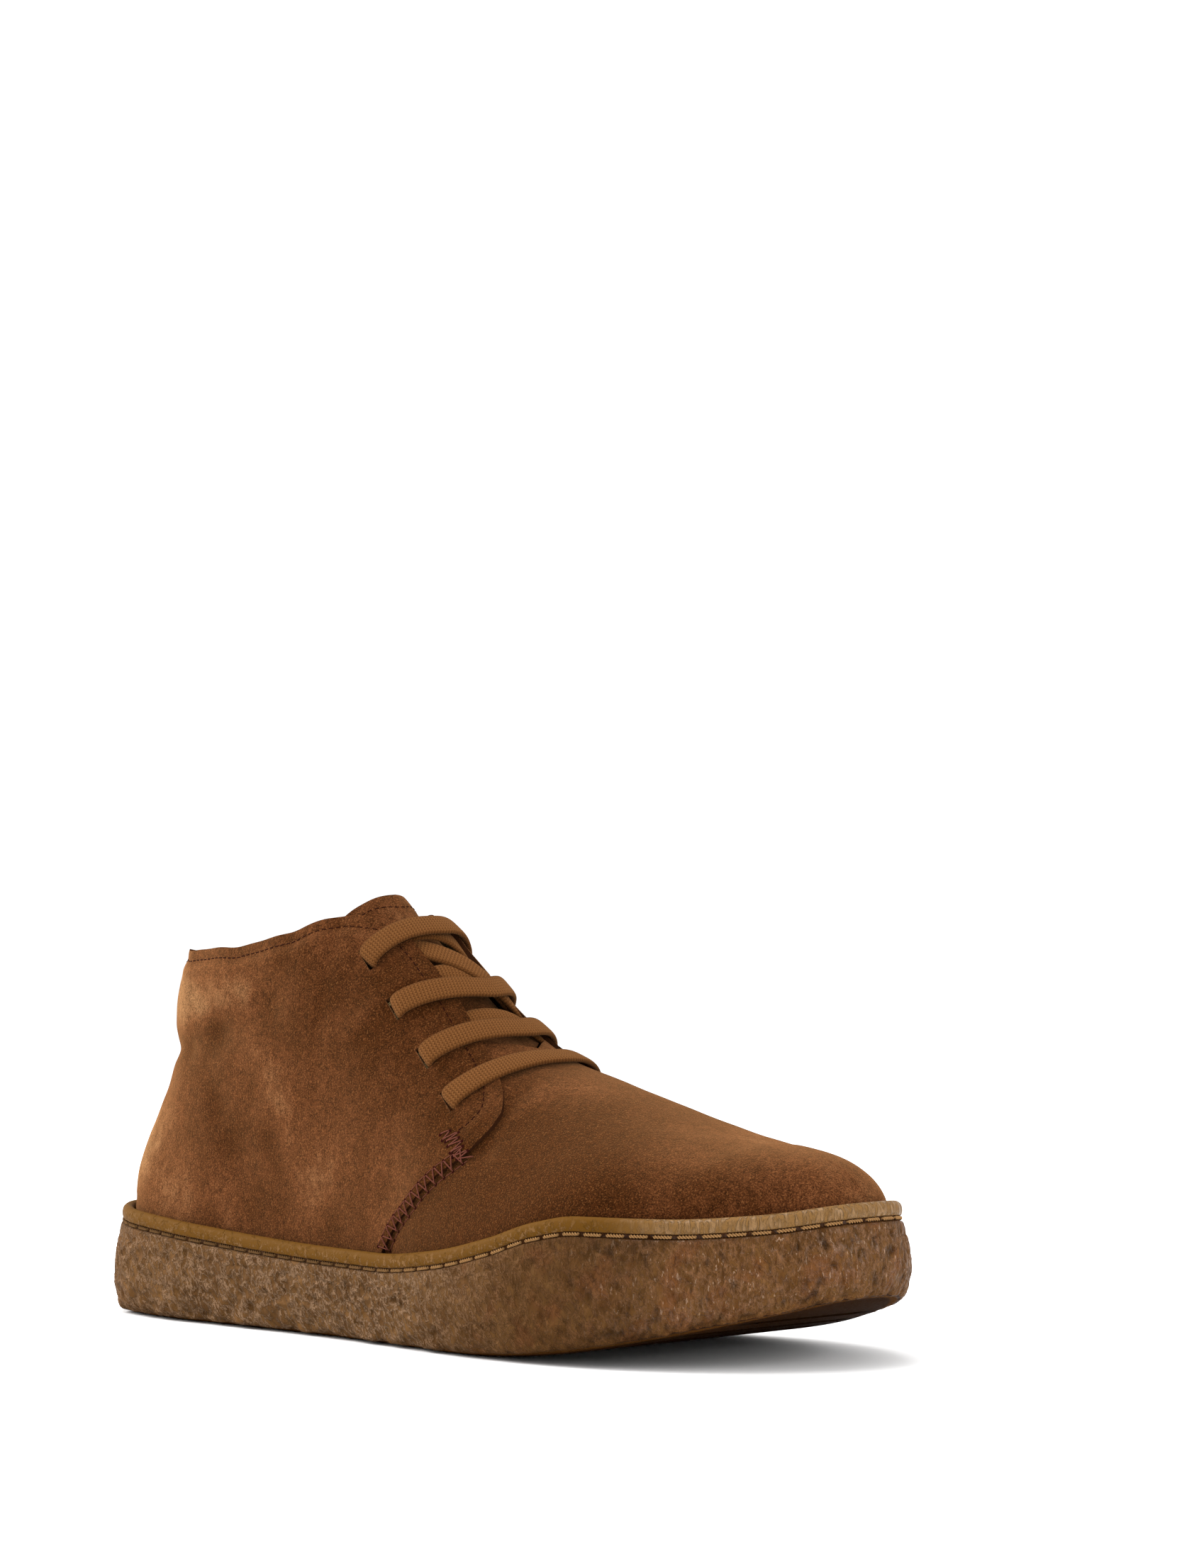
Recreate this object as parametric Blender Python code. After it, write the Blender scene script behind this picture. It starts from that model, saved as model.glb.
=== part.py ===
"""Right-foot ankle boot: a suede upper stitched into a one-piece moulded rubber cupsole.

The frame is in metres with +Z up. The toe points to -Y, the lateral (outer) side to -X, and the origin
is on the floor below the middle of the boot. Sizes below are in millimetres. A place along the boot is
its distance from the heel's back end, here called back, and a place across it is x.
"""

import math

import bmesh
import bpy
import numpy as np
from mathutils import Matrix, Vector

MM = 0.001
WELD = 0.00003  # metres
CUP_GAP = 0.6  # between the upper and the cup's wall
GAP = 0.35  # clearance between pieces that meet

SUEDE = (0.26, 0.13, 0.06)
RUBBER = (0.30, 0.19, 0.10)
LACE_BROWN = (0.36, 0.20, 0.09)

# ---- driving dimensions -------------------------------------------------------------------------------
LENGTH = 300.0
TOE_TIP_X = 9.0  # the toe swings to the medial side
BALL = 180.0  # the tread leaves the floor in front of this place
TOE_SPRING = 19.0  # height of the tread at the toe tip

# Plan outline of the sole at its widest level: half widths on either side of x = 0.
OUTLINE = (  # back, lateral, medial
    (5, 22, 21),
    (20, 35, 33.5),
    (45, 41, 38),
    (82, 42, 36.5),
    (118, 44, 36),
    (152, 48, 41),
    (185, 53.4, 49),
    (212, 55, 54),
    (240, 51.7, 54.6),
    (265, 40.8, 48.5),
    (286, 23.5, 35.5),
    (298, 5.5, 20.5),
)

# Height of the rim's crown, and of the footbed inside the cup.
RIM_COLUMNS = ("back", "lateral", "medial", "footbed")
RIM = (
    (0, 34.6, 34.6, 22),
    (30, 32.8, 33.2, 21.5),
    (60, 30.6, 31.6, 20),
    (90, 28.5, 30.2, 18.2),
    (120, 27.3, 29.6, 16.6),
    (148, 27.0, 30.2, 15.6),
    (176, 29.6, 32.8, 15.8),
    (202, 35.0, 36.6, 18),
    (220, 40.2, 40.0, 20.5),
    (236, 42.6, 42.0, 23),
    (262, 42.5, 42.8, 27),
    (284, 43.9, 44.6, 30.5),
    (300, 46.8, 46.8, 33),
)

# Section through the cup's wall, from the tread's edge up the outside and down the inside. A point's
# height is the tread's, plus a share of the height from tread to rim, plus a lift.
WALL = (  # inset, share, lift
    (7.5, 0, 0.0),  # tread edge
    (3.0, 0, 1.5),  # rounded lower edge
    (0.9, 0, 4.6),
    (0.0, 0, 9.0),  # widest
    (0.4, 0.5, 0.0),
    (1.7, 1, -10.0),
    (2.7, 1, -6.3),  # stitch groove
    (3.7, 1, -5.7),
    (3.7, 1, -4.6),
    (2.7, 1, -4.1),  # rim bead
    (2.3, 1, -2.6),
    (2.9, 1, -0.9),
    (4.2, 1, 0.0),  # crown
    (5.5, 1, -0.6),
    (6.0, 1, -2.0),  # mouth of the cup
)
CUP_INSET = 6.0
STATIONS = 88  # around the sole, an even number

TREAD_PITCH = 13.0
TREAD_GROOVE = (3.4, 2.4)  # width and depth
TREAD_INSET = 13.0
TREAD_RANGE = (14.0, 285.0)

# ---- the last: sections from the rim up to a top point, which is the ridge from the throat forward -----
# Each section is one cubic curve. lean is the inward lean of the wall at the rim and rise how far it holds.
# The shoulder is the curve's third control point and the top its last, each by its distance out from the
# spine and its height. From the throat forward the shoulder is level with the top, so the ridge is round.
SECTION_COLUMNS = ("back", "lean", "rise", "shoulder_out", "shoulder_up", "top_out", "top_up")
SECTION = (
    (0, 10, 23, 20.5, 70, 18.5, 134),
    (25, 10, 23, 20.5, 70, 18.5, 134),
    (45, 6, 22, 24, 88, 21.5, 136),
    (65, 3, 30, 30, 94, 24, 138),
    (85, 3, 40, 33, 104, 24, 141),
    (100, 3, 48, 35, 122, 16, 142),
    (107, 3, 48, 35, 129, 8, 140.5),
    (113, 3, 48, 34, 134, 0, 137),
    (122, 3, 45, 33, 128, 0, 128),
    (130, 3, 43, 32, 122.5, 0, 122.5),
    (140, 3, 40, 31, 113.8, 0, 113.8),
    (150, 3, 36, 30.5, 104.3, 0, 104.3),
    (160, 3, 33, 30, 95.5, 0, 95.5),
    (170, 4, 30, 29.5, 88.2, 0, 88.2),
    (180, 5, 27, 29, 83.3, 0, 83.3),
    (190, 6, 24, 28, 80.3, 0, 80.3),
    (204, 8, 21, 27, 76.0, 0, 76.0),
    (230, 10, 16, 26, 67.6, 0, 67.6),
    (246, 12, 13, 25, 64.0, 0, 64.0),
    (262, 14, 11, 23, 61.8, 0, 61.8),
    (300, 18, 8, 19, 61.8, 0, 61.8),
)
MEDIAL_SHOULDER = ((0, 1), (85, 1), (113, 0.69), (160, 0.72), (190, 1))  # share of shoulder_out on that side
SPINE = (44.0, 262.0)  # between these places the sections are square to the boot, beyond them they fan out
NOSE_SPAN = 8.0  # length over which the ridge's slope at the toe is taken
SPINE_X = ((0, -1.0), (90, -1.0), (116, -3.0), (150, -2.0), (180, 1.0), (262, 5.0), (300, 7.0))

# Collar height along the boot, up to the corner where the facing's edge starts.
COLLAR = ((0, 115.2), (45, 115.6), (75, 117.6), (93, 121.2), (107, 125.4), (115, 126.4), (121, 125.4))
# Front edge of the quarter in side view: up the seam, round the facing's lower corner, up the facing.
FRONT_EDGE = (
    (150.5, 30),
    (153.5, 36.5),
    (161.5, 46.5),
    (171, 54.3),
    (179.5, 60.5),
    (184.9, 64.4),
    (184.6, 69.7),
    (180.2, 75.8),
    (170.5, 83.2),
    (158, 94.4),
    (148, 104),
    (139, 112.3),
    (130, 119.9),
    (124.5, 123.8),
    (121, 125.4),
)
VAMP_BACK = (141.0, 172.0)  # rear edge of the vamp, under the quarter: at the rim and on the ridge

VAMP_LAYER = (-1.9, 0.0)  # inner and outer face, measured outward from the last's surface
QUARTER_LAYER = (-1.0, 1.3)
UNDER_RIM = (-0.93, -0.5)  # rows of the wall inside the cup
QUARTER_ROWS, QUARTER_COLUMNS = 14, 22
VAMP_ROWS, VAMP_COLUMNS, TOE_COLUMNS = 12, 14, 12
STEP_ROOM = (146.0, 166.0)  # the last steps out across here, so that vamp and quarter both fill the cup

# Lace slots: place and height of each slot in side view, and the place where its bar crosses the ridge.
SLOTS = (  # back, height, ridge
    (123.9, 113.0, 131.0),
    (138.4, 98.3, 151.5),
    (153.1, 84.0, 165.5),
    (166.8, 71.6, 179.5),
)
SLOT_SIZE = (8.6, 3.0, 9.0)  # along the facing, across it, and the cut's depth

# The tongue lies inside the facings and meets the vamp's rear edge under the lowest bar.
TONGUE_SIDE = 0.66  # place of its side edges on the section
TONGUE_TOP = (115.2, 10.0)  # back of its upper edge on the ridge, and how far the sides lie behind that
TONGUE_THICK = 2.4
TONGUE_SINK = ((0, 1.6), (14, 3.2), (32, 3.6), (48, 2.8), (60, 2.3))  # depth below the last, from the vamp up

INSOLE_INSET = 10.4
INSOLE_SECTION = ((0.0, 0.4), (0.0, 3.4), (0.9, 4.3))  # inset and height above the footbed, from below
LACE_SECTION = ((4.0, 0), (3.4, 0.9), (-3.4, 0.9), (-4.0, 0), (-3.4, -0.9), (3.4, -0.9))
BAR_LIFT = QUARTER_LAYER[1] + GAP + 1.2  # of a bar's middle over the last
CROSS_LIFT = 1.3
CROSS_OUT = 3.2  # a crossing ends this far from the ridge, under the bars
BAR_BEND = 1.5  # a bar runs forward from its slots and is square to the ridge where it crosses
BAR_STEPS = 7  # from slot to ridge
CROSS_STEPS = 8


# ---- reading the tables ---------------------------------------------------------------------------------
def smooth(xs, ys, x):
    """Smooth curve through a table's points that never overshoots them."""
    xs, ys, x = (np.asarray(v, float) for v in (xs, ys, x))
    step, rate = np.diff(xs), np.diff(ys) / np.diff(xs)
    slope = np.zeros(len(xs))
    same = rate[:-1] * rate[1:] > 0
    weight = (2 * step[1:] + step[:-1], step[1:] + 2 * step[:-1])
    with np.errstate(divide="ignore", invalid="ignore"):
        mean = (weight[0] + weight[1]) / (weight[0] / rate[:-1] + weight[1] / rate[1:])
    slope[1:-1] = np.where(same, mean, 0)
    slope[0], slope[-1] = rate[0], rate[-1]
    x = np.clip(x, xs[0], xs[-1])
    k = np.clip(np.searchsorted(xs, x, side="right") - 1, 0, len(step) - 1)
    h, u = step[k], (x - xs[k]) / step[k]
    return (
        (1 + 2 * u) * (1 - u) ** 2 * ys[k]
        + u * (1 - u) ** 2 * h * slope[k]
        + u * u * (3 - 2 * u) * ys[k + 1]
        + u * u * (u - 1) * h * slope[k + 1]
    )


def column(table, columns, name, back):
    rows = np.array(table, float)
    return smooth(rows[:, 0], rows[:, columns.index(name)], back)


def pairs(table, x):
    rows = np.array(table, float)
    return smooth(rows[:, 0], rows[:, 1], x)


def closed_curve(points):
    """A smooth closed curve through the given points: running length and points."""
    p = np.array(points, float)
    before, after = np.roll(p, 1, 0), np.roll(p, -1, 0)
    d0 = np.linalg.norm(p - before, axis=1)[:, None]
    d1 = np.linalg.norm(after - p, axis=1)[:, None]
    tangent = ((p - before) / d0 * d1 + (after - p) / d1 * d0) / (d0 + d1)
    u = np.linspace(0, 1, 40, endpoint=False)[None, :, None]
    a, b, h = p[:, None], after[:, None], d1[:, None]
    ta, tb = tangent[:, None] * h, np.roll(tangent, -1, 0)[:, None] * h
    leaving = (1 + 2 * u) * (1 - u) ** 2 * a + u * (1 - u) ** 2 * ta
    arriving = u * u * (3 - 2 * u) * b + u * u * (u - 1) * tb
    curve = (leaving + arriving).reshape(-1, 2)
    curve = np.vstack([curve, curve[:1]])
    run = np.r_[0, np.cumsum(np.linalg.norm(np.diff(curve, axis=0), axis=1))]
    return run, curve


def outline(places, inset=0.0):
    """Points (x, back) on the sole's plan outline, moved inward. Place 0 is the heel tip, 0.5 the toe tip."""
    lateral = [(-row[1], row[0]) for row in OUTLINE]
    medial = [(row[2], row[0]) for row in reversed(OUTLINE)]
    run, curve = closed_curve([(0, 0)] + lateral + [(TOE_TIP_X, LENGTH)] + medial)
    tip = run[np.argmax(curve[:, 1])]
    at = np.interp(np.asarray(places, float) % 1.0, (0, 0.5, 1), (0, tip, run[-1]))

    def point(s):
        s = s % run[-1]
        return np.stack([np.interp(s, run, curve[:, 0]), np.interp(s, run, curve[:, 1])], -1)

    along = point(at + 2.0) - point(at - 2.0)
    along /= np.linalg.norm(along, axis=-1)[..., None]
    outward = np.stack([-along[..., 1], along[..., 0]], -1)
    return point(at) - outward * np.asarray(inset)[..., None]


def tread_height(back):
    return TOE_SPRING * np.clip((np.asarray(back, float) - BALL) / (LENGTH - BALL), 0, None) ** 2


def rim_height(places, back):
    """The lateral and medial rims differ, and meet at both tips."""
    lateral = column(RIM, RIM_COLUMNS, "lateral", back)
    medial = column(RIM, RIM_COLUMNS, "medial", back)
    return np.where(np.asarray(places) % 1.0 <= 0.5, lateral, medial)


def footbed_height(back):
    return column(RIM, RIM_COLUMNS, "footbed", back)


# ---- the last -------------------------------------------------------------------------------------------
def seat_inset(back):
    """How far the last stands inside the sole's outline: the quarter's layer is thicker outward."""
    room = np.clip((STEP_ROOM[1] - back) / (STEP_ROOM[1] - STEP_ROOM[0]), 0, 1)
    return CUP_INSET + CUP_GAP + QUARTER_LAYER[1] * room * room * (3 - 2 * room)


def ridge_height(back):
    return column(SECTION, SECTION_COLUMNS, "top_up", back)


def section(places):
    """The four control points of each section, its spine point and its direction across the boot."""
    back = outline(places, CUP_INSET)[..., 1]
    foot = outline(places, seat_inset(back))
    x, back = foot[..., 0], foot[..., 1]
    spine_back = np.clip(back, *SPINE)
    spine_x = pairs(SPINE_X, spine_back)
    across = np.stack([x - spine_x, back - spine_back], -1)
    radius = np.linalg.norm(across, axis=-1)
    across /= radius[..., None]
    value = {name: column(SECTION, SECTION_COLUMNS, name, back) for name in SECTION_COLUMNS[1:]}
    rim = rim_height(places, back)
    nose = ridge_height(SPINE[1] - NOSE_SPAN) - ridge_height(SPINE[1])
    fall = np.where(back > SPINE[1], nose / NOSE_SPAN * across[..., 1], 0)
    lean = np.radians(value["lean"])
    medial = np.where(np.asarray(places) % 1.0 > 0.5, pairs(MEDIAL_SHOULDER, back), 1)
    points = (
        (radius, rim),
        (radius - value["rise"] * np.sin(lean), rim + value["rise"] * np.cos(lean)),
        (value["shoulder_out"] * medial, value["shoulder_up"] - value["shoulder_out"] * fall),
        (value["top_out"], value["top_up"]),
    )
    return points, spine_x, spine_back, across, footbed_height(back)


def last_point(places, t):
    """Point (x, back, z) of the last. t is 0 at the rim, 1 at the section's top and -1 at the footbed."""
    places, t = np.broadcast_arrays(np.asarray(places, float), np.asarray(t, float))
    points, spine_x, spine_back, across, floor = section(places)
    u = np.clip(t, 0, 1)
    weights = ((1 - u) ** 3, 3 * (1 - u) ** 2 * u, 3 * (1 - u) * u * u, u**3)
    radius = sum(w * p[0] for w, p in zip(weights, points))
    height = sum(w * p[1] for w, p in zip(weights, points))
    height = height + np.clip(t, -1, 0) * (points[0][1] - floor)
    return np.stack([spine_x + across[..., 0] * radius, spine_back + across[..., 1] * radius, height], -1)


def last_normal(places, t):
    places, t = np.broadcast_arrays(np.asarray(places, float), np.asarray(t, float))
    du, dt = 0.002, 0.01
    along = last_point(places + du, t) - last_point(places - du, t)
    up = last_point(places, np.clip(t + dt, -1, 1)) - last_point(places, np.clip(t - dt, -1, 1))
    normal = np.cross(up, along)
    # Both halves meet on the ridge, so the normal there has no sideways part.
    top = t > 0.999
    normal[top, 0] = 0
    size = np.linalg.norm(normal, axis=-1)
    normal /= np.maximum(size, 1e-9)[..., None]
    # At the pole in the toe every section meets, and the ridge's own slope gives the normal.
    pole = top & (last_point(places, 0.0 * t)[..., 1] > SPINE[1] - 0.1)
    ridge = np.array([0, (ridge_height(SPINE[1] - NOSE_SPAN) - ridge_height(SPINE[1])) / NOSE_SPAN, 1.0])
    normal[pole] = ridge / np.linalg.norm(ridge)
    return normal


def on_last(places, t, offset):
    """Points offset outward from the last, in the boot's frame and in metres."""
    point = last_point(places, t) + last_normal(places, t) * np.asarray(offset)[..., None]
    return np.stack([point[..., 0], LENGTH / 2 - point[..., 1], point[..., 2]], -1) * MM


PLACES = np.linspace(0, 0.5, 401)


def place_of(side, back):
    """Place around the outline of a section on one side, from its distance from the heel."""
    half = PLACES if side < 0 else 1 - PLACES
    table = section(half)
    radius = table[0][0][0]
    backs = table[2] + table[3][..., 1] * radius
    return np.interp(back, backs, half)


def height_on_section(places, height):
    """The t at which each section reaches a height."""
    places, height = np.broadcast_arrays(np.asarray(places, float), np.asarray(height, float))
    t = np.linspace(0, 1, 129)
    found = np.empty(places.shape)
    for index in np.ndindex(places.shape):
        z = last_point(places[index], t)[:, 2]
        rising = np.maximum.accumulate(z)
        found[index] = np.interp(height[index], rising, t)
    return found


def out_on_section(place, out):
    """The t at which a section is a given distance out from the spine."""
    t = np.linspace(1, 0.3, 141)
    point = last_point(place, t)
    return np.interp(abs(out), abs(point[:, 0] - pairs(SPINE_X, point[:, 1])), t)


# ---- mesh helpers -----------------------------------------------------------------------------------------
def finish(name, bm, colour, roughness):
    bmesh.ops.remove_doubles(bm, verts=bm.verts, dist=0.02 * MM)
    bmesh.ops.recalc_face_normals(bm, faces=bm.faces)
    mesh = bpy.data.meshes.new(name)
    bm.to_mesh(mesh)
    bm.free()
    obj = bpy.data.objects.new(name, mesh)
    bpy.context.scene.collection.objects.link(obj)
    material = bpy.data.materials.new(name)
    material.use_nodes = True
    shader = material.node_tree.nodes["Principled BSDF"]
    shader.inputs["Base Color"].default_value = (*colour, 1)
    shader.inputs["Roughness"].default_value = roughness
    material.diffuse_color = (*colour, 1)
    mesh.materials.append(material)
    mesh.shade_smooth()
    mesh.set_sharp_from_angle(angle=math.radians(35))
    return obj


def add_grid(bm, points, closed=False):
    """Faces over a grid of points. Returns the grid of vertices."""
    verts = [[bm.verts.new(p) for p in row] for row in points]
    for low, high in zip(verts, verts[1:]):
        count = len(low)
        for i in range(count if closed else count - 1):
            j = (i + 1) % count
            bm.faces.new((low[i], low[j], high[j], high[i]))
    return verts


def add_cap(bm, ring):
    """Closes a ring whose first half runs from heel to toe and whose second half runs back."""
    count = len(ring)
    for i in range(count // 2):
        face = [ring[i], ring[i + 1], ring[count - i - 1], ring[(count - i) % count]]
        bm.faces.new(list(dict.fromkeys(face)))


def border(grid):
    return grid[0] + [row[-1] for row in grid[1:]] + grid[-1][-2::-1] + [row[0] for row in grid[-2:0:-1]]


def add_sheet(bm, inner, outer):
    """A closed wall between two grids of the same size."""
    grids = [add_grid(bm, inner), add_grid(bm, outer)]
    loops = [border(grid) for grid in grids]
    count = len(loops[0])
    for i in range(count):
        j = (i + 1) % count
        bm.faces.new((loops[0][i], loops[0][j], loops[1][j], loops[1][i]))


def boolean(obj, cutter, operation):
    """Joins or cuts, then takes out the folded slivers that this leaves where two surfaces nearly agree."""
    modifier = obj.modifiers.new(cutter.name, "BOOLEAN")
    modifier.operation = operation
    modifier.solver = "EXACT"
    modifier.object = cutter
    bpy.context.view_layer.update()
    whole = bpy.data.meshes.new_from_object(obj.evaluated_get(bpy.context.evaluated_depsgraph_get()))
    obj.modifiers.clear()
    bpy.data.objects.remove(cutter, do_unlink=True)
    bm = bmesh.new()
    bm.from_mesh(whole)
    bmesh.ops.triangulate(bm, faces=bm.faces)
    bmesh.ops.remove_doubles(bm, verts=bm.verts, dist=WELD)
    faces = {}
    for face in bm.faces:
        faces.setdefault(frozenset(face.verts), []).append(face)
    folded = [face for group in faces.values() if len(group) > 1 for face in group]
    bmesh.ops.delete(bm, geom=folded, context="FACES")
    bm.to_mesh(obj.data)
    bm.free()


def add_box(bm, centre, axes, size):
    matrix = Matrix.Identity(4)
    for k in range(3):
        for m in range(3):
            matrix[m][k] = axes[k][m] * size[k] * MM
        matrix[k][3] = centre[k]
    bmesh.ops.create_cube(bm, size=1.0, matrix=matrix)


# ---- pieces ------------------------------------------------------------------------------------------
def make_sole():
    places = np.arange(STATIONS) / STATIONS
    edge = outline(places)
    tread, rim = tread_height(edge[:, 1]), rim_height(places, edge[:, 1])

    def ring(inset, height):
        plan = outline(places, inset)
        return np.stack([plan[:, 0], LENGTH / 2 - plan[:, 1], height], -1) * MM

    rings = [ring(inset, tread + share * (rim - tread) + lift) for inset, share, lift in WALL]
    floor = footbed_height(outline(places, CUP_INSET)[:, 1])
    rings.append(ring(CUP_INSET, floor))
    bm = bmesh.new()
    verts = add_grid(bm, rings, closed=True)
    add_cap(bm, verts[0])
    add_cap(bm, verts[-1])
    sole = finish("sole", bm, RUBBER, 0.6)

    bm = bmesh.new()
    width, depth = TREAD_GROOVE
    side = PLACES
    left, right = outline(side, TREAD_INSET), outline(1 - side, TREAD_INSET)
    for back in np.arange(TREAD_RANGE[0], TREAD_RANGE[1], TREAD_PITCH):
        x0 = np.interp(back, left[:, 1], left[:, 0])
        x1 = np.interp(back, right[:, 1], right[:, 0])
        height = float(tread_height(back))
        slope = float(tread_height(back + 1) - tread_height(back - 1)) / 2
        forward = Vector((0, -1, slope)).normalized()
        up = Vector((0, slope, 1)).normalized()
        centre = Vector(((x0 + x1) / 2, LENGTH / 2 - back, height)) * MM
        add_box(bm, centre, (Vector((1, 0, 0)), forward, up), (x1 - x0, width, 2 * depth))
    boolean(sole, finish("tread_cutter", bm, RUBBER, 0.6), "DIFFERENCE")


def front_edge(side, fractions):
    """Place and t along the quarter's front edge, from the rim to the collar's corner."""
    edge = np.array(FRONT_EDGE, float)
    run = np.r_[0, np.cumsum(np.linalg.norm(np.diff(edge, axis=0), axis=1))]
    at = np.asarray(fractions) * run[-1]
    back, height = smooth(run, edge[:, 0], at), smooth(run, edge[:, 1], at)
    places = place_of(side, back)
    t = height_on_section(places, height)
    t[0] = 0.0
    return places, t


def quarter_grid():
    """Places and t over both quarters, from the lateral front edge round the heel to the medial one."""
    halves = []
    v = np.linspace(0, 1, QUARTER_ROWS)[:, None]
    u = np.linspace(0, 1, QUARTER_COLUMNS)[None, :]
    for side in (-1, 1):
        front_places, front_t = front_edge(side, v[:, 0])
        heel = 0.0 if side < 0 else 1.0
        foot_places = heel + (front_places[0] - heel) * u
        top_places = heel + (front_places[-1] - heel) * u
        backs = last_point(top_places, 0.0 * top_places)[..., 1]
        top_t = height_on_section(top_places, pairs(COLLAR, backs))
        top_t[0, -1] = front_t[-1]
        places = (1 - v) * foot_places + v * top_places
        places = places + u * (front_places[:, None] - (1 - v) * front_places[0] - v * front_places[-1])
        t = v * top_t + u * (front_t[:, None] - v * front_t[-1])
        below = np.array(UNDER_RIM)[:, None] + 0 * foot_places
        places = np.vstack([foot_places + 0 * below, places])
        t = np.vstack([below, t])
        halves.append((places, t))
    places = np.hstack([halves[0][0][:, ::-1], halves[1][0][:, 1:] - 1.0])
    t = np.hstack([halves[0][1][:, ::-1], halves[1][1][:, 1:]])
    return places, t


def vamp_back(t):
    return VAMP_BACK[0] + (VAMP_BACK[1] - VAMP_BACK[0]) * np.clip(t, 0, 1) ** 1.3


def vamp_grid(side):
    """Places and t over one half of the vamp, from its rear edge to the toe tip."""
    t = np.r_[UNDER_RIM[0] - 0.02, UNDER_RIM[1], np.linspace(0, 1, VAMP_ROWS)][:, None]
    share = np.linspace(0, 1, VAMP_COLUMNS)[None, :]
    rear = vamp_back(t)
    places = place_of(side, rear + share * (SPINE[1] - rear))
    fan = np.linspace(float(place_of(side, SPINE[1])), 0.5, TOE_COLUMNS + 1)[None, 1:]
    places = np.hstack([places, fan + 0 * t])
    return places, t + 0 * places


def make_upper():
    bm = bmesh.new()
    for side in (-1, 1):
        places, t = vamp_grid(side)
        add_grid(bm, on_last(places, t, VAMP_LAYER[0] + 0 * t))
        add_grid(bm, on_last(places, t, VAMP_LAYER[1] + 0 * t))
        for edge in ((slice(None), 0), (0, slice(None))):
            add_grid(bm, [on_last(places[edge], t[edge], level + 0 * t[edge]) for level in VAMP_LAYER])
    upper = finish("upper", bm, SUEDE, 0.9)

    places, t = quarter_grid()
    bm = bmesh.new()
    add_sheet(bm, *(on_last(places, t, level + 0 * t) for level in QUARTER_LAYER))
    boolean(upper, finish("quarters", bm, SUEDE, 0.9), "UNION")
    return upper


def slot_frames(side):
    """Place, t and back of each slot, with the middle, normal and direction of its cut."""
    backs, heights, _ = np.array(SLOTS).T
    places = place_of(side, backs)
    t = height_on_section(places, heights)
    middle = on_last(places, t, 0 * t)
    along = np.gradient(middle, axis=0)
    along /= np.linalg.norm(along, axis=1)[:, None]
    normal = on_last(places, t, 0 * t + 1000) - middle
    normal -= (normal * along).sum(1)[:, None] * along
    normal /= np.linalg.norm(normal, axis=1)[:, None]
    return t, middle, along, normal


def cut_slots(upper):
    bm = bmesh.new()
    for side in (-1, 1):
        for _, middle, along, normal in zip(*slot_frames(side)):
            add_box(bm, middle, (along, np.cross(normal, along), normal), SLOT_SIZE)
    boolean(upper, finish("slot_cutter", bm, SUEDE, 0.9), "DIFFERENCE")


def make_tongue():
    columns, rows = 9, 12
    halves = []
    for side in (-1, 1):
        t = np.linspace(TONGUE_SIDE, 1, columns)[None, :]
        low = vamp_back(t) - 2 * GAP
        top = TONGUE_TOP[0] - TONGUE_TOP[1] * ((1 - t) / (1 - TONGUE_SIDE)) ** 1.5
        back = low + (top - low) * np.linspace(0, 1, rows)[:, None]
        sink = pairs(TONGUE_SINK, low - back)
        places = place_of(side, back)
        halves.append([on_last(places, t + 0 * back, -sink - thick) for thick in (TONGUE_THICK, 0)])
    sheets = [np.concatenate([halves[0][k], halves[1][k][:, -2::-1]], axis=1) for k in (0, 1)]
    bm = bmesh.new()
    add_sheet(bm, *sheets)
    finish("tongue", bm, SUEDE, 0.9)


def make_insole():
    places = np.arange(STATIONS) / STATIONS
    rings = []
    for inset, height in INSOLE_SECTION:
        plan = outline(places, INSOLE_INSET + inset)
        height = height + footbed_height(plan[:, 1])
        rings.append(np.stack([plan[:, 0], LENGTH / 2 - plan[:, 1], height], -1) * MM)
    bm = bmesh.new()
    verts = add_grid(bm, rings, closed=True)
    add_cap(bm, verts[0])
    add_cap(bm, verts[-1])
    finish("insole", bm, (0.30, 0.22, 0.12), 0.9)


def strip(points, lifted):
    """A flat lace along a path: lifted is the same path a little further from the last."""
    tangent = np.gradient(points, axis=0)
    tangent /= np.linalg.norm(tangent, axis=1)[:, None]
    normal = lifted - points
    normal -= (normal * tangent).sum(1)[:, None] * tangent
    normal /= np.linalg.norm(normal, axis=1)[:, None]
    side = np.cross(normal, tangent)
    rings = [points + (side * across + normal * up) * MM for across, up in LACE_SECTION]
    bm = bmesh.new()
    verts = add_grid(bm, np.swapaxes(np.array(rings), 0, 1), closed=True)
    bm.faces.new(verts[0])
    bm.faces.new(verts[-1])
    return bm


def bar_path(index, lift):
    halves = []
    for side in (-1, 1):
        t_slot = slot_frames(side)[0][index]
        back, _, ridge = SLOTS[index]
        share = np.linspace(1, 0, BAR_STEPS)
        places = place_of(side, ridge + (back - ridge) * share**BAR_BEND)
        halves.append(on_last(places, 1 - (1 - t_slot) * share, lift + 0 * share))
    return np.vstack([halves[0], halves[1][-2::-1]])


def crossing_path(low, high, lift):
    """From the medial side under one bar up to the lateral side under a higher one."""
    share = np.linspace(0, 1, CROSS_STEPS)
    back = SLOTS[low][2] + (SLOTS[high][2] - SLOTS[low][2]) * share
    out = CROSS_OUT * (1 - 2 * share)
    points = []
    for b, o in zip(back, out):
        place = float(place_of(1 if o > 0 else -1, b))
        points.append(on_last(place, out_on_section(place, o), lift))
    return np.array(points)


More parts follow.
